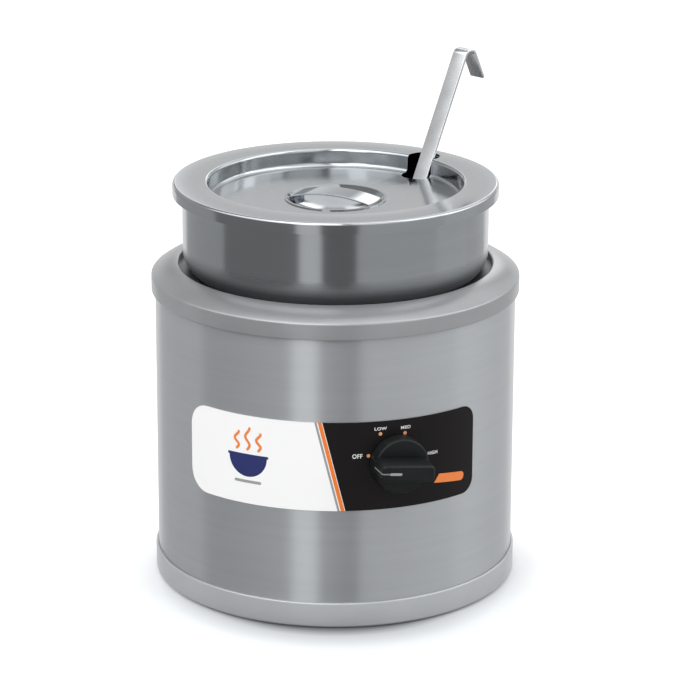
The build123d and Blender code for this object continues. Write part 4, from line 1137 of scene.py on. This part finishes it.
@dataclass
class Dial:
    """Bar knob with its pointer and the screws behind it."""

    azimuth: float = 19.5
    height: float = 149.0
    back: float = 160.2
    skirt_radius: float = 24.7
    skirt_depth: float = 12.8
    depth: float = 32.4
    tip: float = 25.2
    heel: float = 22.4
    rear_width: float = 18.0
    front_width: float = 14.0
    grip_corner: float = 4.0
    grip_edge: float = 1.8
    tilt: float = 6.5
    hollow_radius: float = 20.5
    hub_radius: float = 7.0
    hollow_depth: float = 5.0
    bore: float = 3.1
    pointer_width: float = 1.2
    pointer_proud: float = 0.15
    pointer_depth: float = 0.4
    pointer_reach: float = 18.0
    dash_length: float = 11.0
    dash_width: float = 2.3
    screw_spacing: float = 28.0

    def plane(self, out: float = 0.0) -> Matrix:
        """The dial's plane: x across, y up, z outward from the body's axis."""
        turn = radians(self.azimuth)
        way = Vector((sin(turn), -cos(turn), 0))
        across = Vector((cos(turn), sin(turn), 0))
        turned = Matrix((across, Vector((0, 0, 1)), way)).transposed().to_4x4()
        return Matrix.Translation(way * out + Vector((0, 0, self.height))) @ turned

    def turned(self, out: float = 0.0) -> Matrix:
        """The dial's plane, tilted as the knob's bar is at OFF."""
        return self.plane(out) @ Matrix.Rotation(-radians(self.tilt), 4, "Z")

    def build(self, shop: Workshop) -> None:
        """Make the knob, its pointer and the fixings."""
        self.knob(shop)
        self.pointer(shop)
        self.fixings(shop)

    def knob(self, shop: Workshop) -> None:
        """Round skirt crossed by a tapering grip bar, hollow behind."""
        skirt = filleted([(self.hollow_radius, 0), (self.skirt_radius, 0), (self.skirt_radius - 0.5, self.skirt_depth),
                          (self.bore, self.skirt_depth)], [0.6, 1.8], 6)
        outline = [*skirt, (self.bore, 0), (self.hub_radius, 0), (self.hub_radius, self.hollow_depth),
                   (self.hollow_radius, self.hollow_depth)]
        knob = lathe("control_knob_body", outline, self.plane(self.back), 128)
        grip = self.grip()
        knob = cut(knob, grip, "UNION")
        shop.dress(knob, KNOB_BLACK, Body.KNOB, "control_knob")

    def grip(self) -> bpy.types.Object:
        """The grip bar, wider at its root than at its front, with round corners and a softened front."""
        low, high = self.hollow_depth + 0.4, self.depth
        slope = (self.rear_width - self.front_width) / 2 / self.depth
        layers = ((low, self.rear_width / 2 - slope * low), (high, self.front_width / 2))
        points: list[Vector] = []
        for depth, half in layers:
            outline = filleted([(0, -half), (self.heel, -half), (self.heel, half), (-self.tip, half), (-self.tip, -half),
                                (0, -half)], [self.grip_corner] * 4, 6)[:-1]
            points.extend(self.turned(self.back) @ Vector((x, y, depth)) for x, y in outline)
        count = len(points) // 2
        faces = [[i, (i + 1) % count, (i + 1) % count + count, i + count] for i in range(count)]
        faces += [list(range(count)), list(range(2 * count - 1, count - 1, -1))]
        return bevelled(mesh_piece("grip", points, faces), self.grip_edge, 5, 40)

    def pointer(self, shop: Workshop) -> None:
        """Grey line down the grip's tip and along its front, ending in a paler dash."""
        tip, front, half = -self.tip, self.depth, self.dash_width / 2
        proud, deep, reach = self.pointer_proud, self.pointer_depth, self.pointer_reach - self.dash_length
        path = filleted([(tip - proud, self.skirt_depth + 0.6), (tip - proud, front + proud),
                         (tip - proud + reach, front + proud)], [self.grip_edge + proud], 8)
        plane = self.turned(self.back) @ Matrix(((1, 0, 0, 0), (0, 0, 1, 0), (0, 1, 0, 0), (0, 0, 0, 1)))
        strip = strip_slab("pointer_line", path, deep + proud, Side.RIGHT, plane, self.pointer_width)
        shop.dress(bevelled(strip, 0.12, 2), POINTER_GREY, Body.KNOB, "knob_pointer")
        left, right = tip - proud + reach, tip - proud + self.pointer_reach
        outline = arc((left + half, 0), half, 90, 180, 8) + arc((right - half, 0), half, -90, 180, 8)
        dash = slab("pointer_dash", outline, self.turned(self.back), front - deep, front + proud)
        shop.dress(bevelled(dash, 0.1, 2), POINTER_PALE, Body.KNOB)

    def fixings(self, shop: Workshop) -> None:
        """Screw heads behind the knob."""
        head = lathe("head", filleted([(0, 0), (3.5, 0), (3.5, 2.0), (0, 2.0)], [0.2, 0.9], 5), segments=28)
        slot = slab("slot", [(-4, -0.4), (4, -0.4), (4, 0.4), (-4, 0.4)], Matrix(), 1.2, 3.0)
        head = cut(head, slot)
        out = self.plane(0).to_3x3() @ Vector((0, 0, 1))
        spots = [(self.plane(159.0) @ Vector((side * self.screw_spacing / 2, 0, 0)), out) for side in (-1, 1)]
        screws = shop.pattern.places("dial_screw_heads", head, spots, shop.finishes[ZINC])
        shop.dress(screws, ZINC, Body.WARMER, "thermostat_screws")


@dataclass
class InsetPot:
    """The drop-in pot."""

    radius: float = 134.2
    wall: float = 0.9
    lower_radius: float = 122.0
    bottom: float = 137.1
    crease: float = 275.1
    corner: float = 283.63
    top: float = 354.52
    rim_radius: float = 140.5
    rim_lip: float = 4.5

    def build(self, shop: Workshop) -> None:
        """Spin the pot's wall, its shoulder and its rolled rim."""
        rim, high = self.rim_radius - self.wall, self.top - self.wall
        path = filleted([(0, self.bottom), (self.lower_radius, self.bottom), (self.lower_radius, self.crease),
                         (self.radius, self.corner), (self.radius, high), (rim, high), (rim, self.top - self.rim_lip)],
                        [20.0, 2.0, 24.0, 1.6, 1.6], 12)
        shop.dress(lathe("inset_pot_wall", thickened(path, self.wall, Side.LEFT)), POT_STEEL, Body.INSET, "inset_pot")


@dataclass
class Lid:
    """Recessed cover, polished cup and strap."""

    radius: float = 142.7
    wall: float = 1.2
    top: float = 356.02
    lip: float = 10.4
    recess: float = 111.5
    depth: float = 16.0
    cup_radius: float = 43.0
    cup_flange: float = 1.9
    cup_depth: float = 13.0
    cup_wall: float = 0.8
    notch_angle: float = 47.4
    notch_inner: float = 107.3
    notch_length: float = 9.7
    notch_half: float = 14.0
    strap_angle: float = -24.0
    strap_width: float = 26.0
    strap_thickness: float = 1.6
    strap_rise: float = 4.5
    strap_drop: float = 2.5

    @property
    def floor(self) -> float:
        """Height of the recess's floor."""
        return self.top - self.depth

    @property
    def sphere(self) -> float:
        """Radius of the cup's sphere."""
        return (self.cup_radius**2 + self.cup_depth**2) / (2 * self.cup_depth)

    def build(self, shop: Workshop) -> None:
        """Make the cover, the cup and the strap."""
        self.cover(shop)
        self.cup(shop)
        self.strap(shop)

    def cover(self, shop: Workshop) -> None:
        """Spin the cover and cut the ladle's notch."""
        path = filleted([(self.cup_radius + 0.1, self.floor), (self.recess - 1.0, self.floor), (self.recess, self.top),
                         (self.radius, self.top), (self.radius, self.top - self.lip)], [4.0, 3.2, 2.8], 9)
        cover = lathe("cover_top", thickened(path, self.wall, Side.RIGHT), segments=288)
        half = self.notch_half
        outline = arc((0, 0), half, 90, 180) + arc((self.notch_length, 0), half, -90, 180)
        turn = Matrix.Rotation(radians(self.notch_angle), 4, "Z") @ Matrix.Translation((self.notch_inner, 0, 0))
        notch = slab("notch", outline, turn, self.floor - 6, self.top + 6)
        shop.dress(cut(cover, notch), COVER_STEEL, Body.COVER, "cover")

    def cup(self, shop: Workshop) -> None:
        """Polished dish with its flat flange."""
        centre = self.floor - self.cup_depth + self.sphere
        turn = degrees(asin(self.cup_radius / self.sphere))
        path = arc((0, centre), self.sphere, -90, turn, 30) + [(self.cup_radius + self.cup_flange, self.floor)]
        path[0] = (0.0, self.floor - self.cup_depth)
        outline = thickened(path, self.cup_wall, Side.LEFT)
        shop.dress(lathe("polished_cup", outline, segments=192), MIRROR_STEEL, Body.COVER, "handle_cup")

    def strap(self, shop: Workshop) -> None:
        """Arched strap whose ends follow the dish."""
        inner = self.sphere - self.cup_wall
        centre = self.floor - self.cup_depth + self.sphere
        rise = self.strap_rise + self.strap_drop
        bow = (self.cup_radius**2 + rise**2) / (2 * rise)
        crown = self.floor + self.strap_rise
        plane = radial_matrix(self.strap_angle)
        rows, columns, half = 11, 41, self.strap_width / 2
        points, faces = [], []
        for row in range(rows):
            across = half * sin(pi / 2 * (2 * row / (rows - 1) - 1))
            reach = self.strap_reach(across, inner, centre, bow, crown)
            for column in range(columns):
                along = reach * (2 * column / (columns - 1) - 1)
                height = crown - bow + sqrt(bow**2 - along**2)
                points.append(plane @ Vector((along, height, across)))
        for row in range(rows - 1):
            for column in range(columns - 1):
                first = row * columns + column
                faces.append([first, first + 1, first + 1 + columns, first + columns])
        strap = mesh_piece("lift_strap", points, faces)
        if sum(face.normal.z for face in strap.data.polygons) < 0:
            strap.data.flip_normals()
        solid = strap.modifiers.new("sheet", "SOLIDIFY")
        solid.thickness, solid.offset, solid.use_even_offset = self.strap_thickness * MM, 1.0, True
        settled(strap)
        shop.dress(bevelled(strap, 0.45, 3), MIRROR_STEEL, Body.COVER, "handle_strap")

    @staticmethod
    def strap_reach(across: float, inner: float, centre: float, bow: float, crown: float) -> float:
        """How far along the arch meets the dish at a distance from its middle line."""
        low, high = 20.0, 43.0
        for _ in range(30):
            along = (low + high) / 2
            height = crown - bow + sqrt(bow**2 - along**2)
            inside = along**2 + across**2 + (height - centre) ** 2 < inner**2
            low, high = (along, high) if inside else (low, along)
        return low


@dataclass
class Ladle:
    """Bowl, hooked handle and rivets, all in one leaning plane."""

    plane_angle: float = 45.0
    lean: float = 25.3
    sphere: float = 42.7
    wall: float = 1.0
    depth: float = 35.0
    bowl_height: float = 182.0
    cross_circle: float = 106.4
    cross_height: float = 340.02
    running_gap: float = 0.05
    width: float = 16.0
    thickness: float = 2.5
    hook_top: float = 448.42
    hook_flat: float = 10.5
    hook_leg: float = 31.0
    hook_open: float = 25.7
    hook_bend: float = 7.2
    tail_angle: float = 36.0
    rivet_angles: tuple[float, ...] = field(default=(18.0, 31.0))

    def build(self, shop: Workshop) -> None:
        """Make the bowl, the handle and the rivets."""
        turn = radians(self.lean)
        inside = self.sphere + self.wall + self.running_gap
        height = self.bowl_height - inside * sin(turn)
        place = self.cross_circle - (self.cross_height - height) * tan(turn)
        self.centre = (place - inside * cos(turn), self.bowl_height)
        plane = radial_matrix(self.plane_angle)
        out = (plane.to_3x3() @ Vector((cos(turn), -sin(turn), 0))).normalized()
        up = (plane.to_3x3() @ Vector((sin(turn), cos(turn), 0))).normalized()
        middle = plane @ Vector((*self.centre, 0))
        self.bowl(shop, out, up, middle)
        self.handle(shop, plane, (place, height), inside)
        self.rivets(shop, out, up, middle, inside)

    def bowl(self, shop: Workshop, out: Vector, up: Vector, middle: Vector) -> None:
        """Spun bowl with a softened rim."""
        drop = self.sphere - self.depth
        turn = degrees(acos(drop / self.sphere))
        path = arc((0, 0), self.sphere, -90, turn, 36)
        path[0] = (0.0, -self.sphere)
        frame = Matrix((out, up.cross(out), up)).transposed().to_4x4()
        piece = lathe("ladle_bowl_wall", thickened(path, self.wall, Side.RIGHT), Matrix.Translation(middle) @ frame, 128)
        shop.dress(bevelled(piece, 0.3, 2, 60), LADLE_STEEL, Body.LADLE, "ladle_bowl")

    def handle(self, shop: Workshop, plane: Matrix, start: Point2, inside: float) -> None:
        """One strap from under the bowl to the hook."""
        corner = self.cross_circle + (self.hook_top - self.cross_height) * tan(radians(self.lean))
        far = corner + self.hook_flat
        opening = radians(self.hook_open)
        tip = (far + self.hook_leg * sin(opening), self.hook_top - self.hook_leg * cos(opening))
        tail = arc(self.centre, inside, -self.lean - self.tail_angle, self.tail_angle, 14)
        hook = filleted([start, (corner, self.hook_top), (far, self.hook_top), tip], [self.hook_bend] * 2, 12)
        steps = 16
        shank = [tuple(Vector(start).lerp(Vector(hook[1]), i / steps)) for i in range(1, steps)]
        handle = strip_slab("ladle_strap", tail[:-1] + [start] + shank + hook[1:], self.thickness, Side.RIGHT, plane, self.width)
        shop.dress(bevelled(handle, 0.6, 3, 50), LADLE_STEEL, Body.LADLE, "ladle_handle")

    def rivets(self, shop: Workshop, out: Vector, up: Vector, middle: Vector, inside: float) -> None:
        """Domed rivets, one head inside the bowl and one on the strap."""
        domed = lathe("dome", arc((0, -2.4), 3.4, 45, 45, 6)[::-1] + [(2.4, -0.2), (0, -0.2)], segments=32)
        spots = []
        for angle in self.rivet_angles:
            turn = radians(angle)
            way = out * cos(turn) - up * sin(turn)
            spots.append((middle + way * (inside + self.thickness), way))
            spots.append((middle + way * (self.sphere - 0.1), -way))
        rivets = shop.pattern.places("ladle_rivet_heads", domed, spots, shop.finishes[LADLE_STEEL])
        shop.dress(rivets, LADLE_STEEL, Body.LADLE, "ladle_rivets")


def dress_cad_nodes(shop: Workshop) -> None:
    """Give each CAD node that still shows the finish of its slot."""
    by_slot: dict[str, Finish] = {}
    for finish in ALL_FINISHES:
        by_slot.setdefault(finish.slot, finish)
    for part in shop.frame["record"]["subparts"]:
        node = shop.frame["nodes"][part["node"]]
        node.data.materials.clear()
        node.data.materials.append(shop.finishes[by_slot[part["material_slot"]]])


@dataclass
class Studio:
    """Camera, floor, world and lamps."""

    camera_place: tuple[float, float, float] = (0.0131, -2.627, 1.0415)
    camera_pitch: float = 72.241
    camera_roll: float = 0.242
    lens: float = 159.77
    floor_size: float = 12.0
    # Painted shadow on the floor: its colour darkens and its glow fades towards this middle, darkest in a thin line
    # under the base.
    shadow_middle: tuple[float, float, float] = (0.0, -0.045, 0.0)
    shadow_reach: tuple[float, float] = (0.10, 0.25)
    shadow_tones: tuple[tuple[float, Colour], ...] = (
        (0.118, (0.20, 0.21, 0.22)), (0.132, (0.58, 0.60, 0.62)), (0.157, (0.79, 0.81, 0.83)), (0.21, (0.92, 0.92, 0.92)))
    floor_glow: float = 0.4
    ambient: float = 0.62
    low_bands: tuple[tuple[float, float], ...] = (
        (-150.0, 0.92), (-92.0, 0.50), (-27.0, 0.26), (-10.0, 0.84), (16.0, 0.21), (82.0, 0.59), (117.0, 0.66),
        (150.0, 0.62), (180.0, 0.98))
    middle_bands: tuple[tuple[float, float], ...] = (
        (-175.0, 0.80), (-170.0, 1.8), (-162.0, 0.22), (-60.0, 0.60), (-30.0, 0.80), (-12.0, 2.3), (20.0, 0.50),
        (66.0, 0.90), (84.0, 1.5), (110.0, 2.9), (135.0, 1.8), (158.0, 0.9), (165.0, 0.25), (174.0, 2.4), (180.0, 0.80))
    high_bands: tuple[tuple[float, float], ...] = (
        (-160.0, 1.30), (-112.0, 0.38), (-58.0, 2.1), (6.0, 3.0), (14.0, 0.3), (48.0, 1.4), (54.0, 0.3), (108.0, 2.6),
        (128.0, 1.0), (180.0, 1.30))
    middle_rise: tuple[float, float] = (0.17, 0.24)
    softbox_rise: tuple[float, float] = (0.43, 0.56)
    floor_fall: tuple[float, float] = (-0.75, -0.45)
    floor_shade: float = 0.3

    def build(self) -> None:
        """Set up everything that isn't the object."""
        scene = bpy.context.scene
        scene.view_settings.view_transform = "Standard"
        data = bpy.data.cameras.new("view")
        data.lens, data.sensor_width, data.clip_end = self.lens, 36.0, 50.0
        camera = bpy.data.objects.new("view", data)
        scene.collection.objects.link(camera)
        turn = Matrix.Rotation(radians(self.camera_pitch), 4, "X") @ Matrix.Rotation(radians(self.camera_roll), 4, "Z")
        camera.matrix_world = Matrix.Translation(self.camera_place) @ turn
        scene.camera = camera
        self.world()
        self.floor()
        self.lamp("key", (-1.5, -1.7, 2.3), 1.3, 1.3, 30.0)
        self.lamp("fill", (1.9, -1.2, 1.5), 1.2, 1.6, 13.0)
        self.lamp("overhead", (0.0, 0.3, 2.6), 1.8, 1.8, 22.0)

    def world(self) -> None:
        """White where it is seen, softer as light, and softboxes beside dark gaps where it is mirrored."""
        world = bpy.data.worlds.new("studio")
        bpy.context.scene.world = world
        world.use_nodes = True
        world.cycles.sampling_method = "NONE"
        tree = world.node_tree
        back = tree.nodes["Background"]
        path = tree.nodes.new("ShaderNodeLightPath")
        split = tree.nodes.new("ShaderNodeSeparateXYZ")
        tree.links.new(tree.nodes.new("ShaderNodeTexCoord").outputs["Generated"], split.inputs[0])
        x, y, z = split.outputs
        azimuth = Effects._math(tree, "ARCTAN2", x, Effects._math(tree, "MULTIPLY", y, -1.0))
        share = Effects._math(tree, "MULTIPLY_ADD", azimuth, 1 / (2 * pi), 0.5)
        low = self.band_ramp(tree, share, self.low_bands)
        middle = self.band_ramp(tree, share, self.middle_bands)
        high = self.band_ramp(tree, share, self.high_bands)
        lower = self.blend(tree, z, self.middle_rise, low, middle)
        mirrored = self.blend(tree, z, self.softbox_rise, lower, high)
        fall = tree.nodes.new("ShaderNodeMapRange")
        fall.inputs["From Min"].default_value, fall.inputs["From Max"].default_value = self.floor_fall
        fall.inputs["To Min"].default_value = self.floor_shade
        tree.links.new(z, fall.inputs["Value"])
        shaded = Effects._math(tree, "MULTIPLY", mirrored, fall.outputs[0])
        seen = Effects._math(tree, "MAXIMUM", path.outputs["Is Camera Ray"], path.outputs["Is Transmission Ray"])
        plain = tree.nodes.new("ShaderNodeMix")
        plain.inputs["A"].default_value, plain.inputs["B"].default_value = self.ambient, 1.0
        tree.links.new(seen, plain.inputs["Factor"])
        chosen = tree.nodes.new("ShaderNodeMix")
        tree.links.new(path.outputs["Is Glossy Ray"], chosen.inputs["Factor"])
        tree.links.new(plain.outputs["Result"], chosen.inputs["A"])
        tree.links.new(shaded, chosen.inputs["B"])
        tree.links.new(chosen.outputs["Result"], back.inputs["Strength"])
        back.inputs["Color"].default_value = (1, 1, 1, 1)

    @staticmethod
    def blend(tree: bpy.types.NodeTree, level: bpy.types.NodeSocket, span: tuple[float, float],
              under: bpy.types.NodeSocket, over: bpy.types.NodeSocket) -> bpy.types.NodeSocket:
        """Pass from one value to another as a level rises.

        Args:
            tree: The world's nodes.
            level: What rises.
            span: Where the passage starts and ends.
            under: The value below the span.
            over: The value above it.

        Returns:
            The blended value.
        """
        rise = tree.nodes.new("ShaderNodeMapRange")
        rise.inputs["From Min"].default_value, rise.inputs["From Max"].default_value = span
        tree.links.new(level, rise.inputs["Value"])
        mix = tree.nodes.new("ShaderNodeMix")
        tree.links.new(rise.outputs[0], mix.inputs["Factor"])
        tree.links.new(under, mix.inputs["A"])
        tree.links.new(over, mix.inputs["B"])
        return mix.outputs["Result"]

    @staticmethod
    def band_ramp(tree: bpy.types.NodeTree, share: bpy.types.NodeSocket, bands: Sequence[tuple[float, float]]) -> bpy.types.NodeSocket:
        """Brightness by azimuth, in upright bands with soft sides.

        Args:
            tree: The world's nodes.
            share: The azimuth as a share of the full turn, 0.5 at the front.
            bands: Each band's last azimuth in degrees, right of the front, and its brightness.

        Returns:
            The brightness.
        """
        ramp = tree.nodes.new("ShaderNodeValToRGB")
        elements = ramp.color_ramp.elements
        soft = 2.0 / 360
        places = []
        for index, (end, value) in enumerate(bands):
            start = -180.0 if index == 0 else bands[index - 1][0]
            places.append((max(0.0, start / 360 + 0.5 + (soft / 2 if index else 0)), value))
            places.append((min(1.0, end / 360 + 0.5 - (soft / 2 if index < len(bands) - 1 else 0)), value))
        for index, (place, value) in enumerate(places):
            element = elements[index] if index < 2 else elements.new(place)
            element.position = place
            element.color = (value / 8, value / 8, value / 8, 1)
        tree.links.new(share, ramp.inputs[0])
        return Effects._math(tree, "MULTIPLY", ramp.outputs[0], 8.0)

    def floor(self) -> None:
        """White floor that keeps the object's cast shadow, with a painted shadow in its colour and glow round the
        object.
        """
        half = self.floor_size / 2
        mesh = bpy.data.meshes.new("floor")
        mesh.from_pydata([(-half, -half, 0), (half, -half, 0), (half, half, 0), (-half, half, 0)], [], [[0, 1, 2, 3]])
        floor = link("floor", mesh)
        material = bpy.data.materials.new("floor_white")
        material.use_nodes = True
        tree = material.node_tree
        shader = tree.nodes["Principled BSDF"]
        shader.inputs["Roughness"].default_value = 0.9
        shader.inputs["Specular IOR Level"].default_value = 0.0
        path = tree.nodes.new("ShaderNodeLightPath")
        seen = Effects._math(tree, "MAXIMUM", path.outputs["Is Camera Ray"], path.outputs["Is Glossy Ray"])
        seen = Effects._math(tree, "MAXIMUM", seen, path.outputs["Is Transmission Ray"])
        reach = tree.nodes.new("ShaderNodeVectorMath")
        reach.operation = "DISTANCE"
        reach.inputs[1].default_value = self.shadow_middle
        tree.links.new(tree.nodes.new("ShaderNodeTexCoord").outputs["Object"], reach.inputs[0])
        clear = tree.nodes.new("ShaderNodeMapRange")
        clear.inputs["From Min"].default_value, clear.inputs["From Max"].default_value = self.shadow_reach
        tree.links.new(reach.outputs["Value"], clear.inputs["Value"])
        # Painted shadow: the floor's colour darkens and its glow fades towards the object.
        paint = tree.nodes.new("ShaderNodeValToRGB")
        elements = paint.color_ramp.elements
        near, far = self.shadow_reach
        for index, (distance, colour) in enumerate(self.shadow_tones):
            place = (distance - near) / (far - near)
            element = elements[index] if index < 2 else elements.new(place)
            element.position, element.color = place, (*colour, 1)
        tree.links.new(clear.outputs[0], paint.inputs[0])
        tree.links.new(paint.outputs[0], shader.inputs["Base Color"])
        glow = Effects._math(tree, "MULTIPLY", clear.outputs[0], self.floor_glow)
        shader.inputs["Emission Color"].default_value = (1, 1, 1, 1)
        tree.links.new(Effects._math(tree, "MULTIPLY", seen, glow), shader.inputs["Emission Strength"])
        mesh.materials.append(material)
        floor.visible_glossy = False

    @staticmethod
    def lamp(name: str, place: tuple[float, float, float], width: float, height: float, power: float) -> None:
        """Hang an area lamp that faces the object.

        Args:
            name: The lamp's name.
            place: Where it hangs, in metres.
            width: Its width in metres.
            height: Its height in metres.
            power: Its power in watts.
        """
        data = bpy.data.lights.new(name, "AREA")
        data.shape, data.size, data.size_y, data.energy = "RECTANGLE", width, height, power
        lamp = bpy.data.objects.new(name, data)
        lamp.visible_glossy = False
        bpy.context.scene.collection.objects.link(lamp)
        way = Vector((0, 0, 0.2)) - Vector(place)
        lamp.matrix_world = Matrix.Translation(place) @ way.to_track_quat("-Z", "Y").to_matrix().to_4x4()


def main() -> None:
    """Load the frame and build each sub-assembly around it."""
    logging.basicConfig(level=logging.INFO, format="%(message)s")
    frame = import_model()
    bpy.context.view_layer.update()
    Studio().build()
    shop = Workshop(frame)
    dress_cad_nodes(shop)
    for assembly in (Cabinet(), ControlPanel(), Dial(), InsetPot(), Lid(), Ladle()):
        assembly.build(shop)
    bpy.context.view_layer.update()


if __name__ == "__main__":
    main()
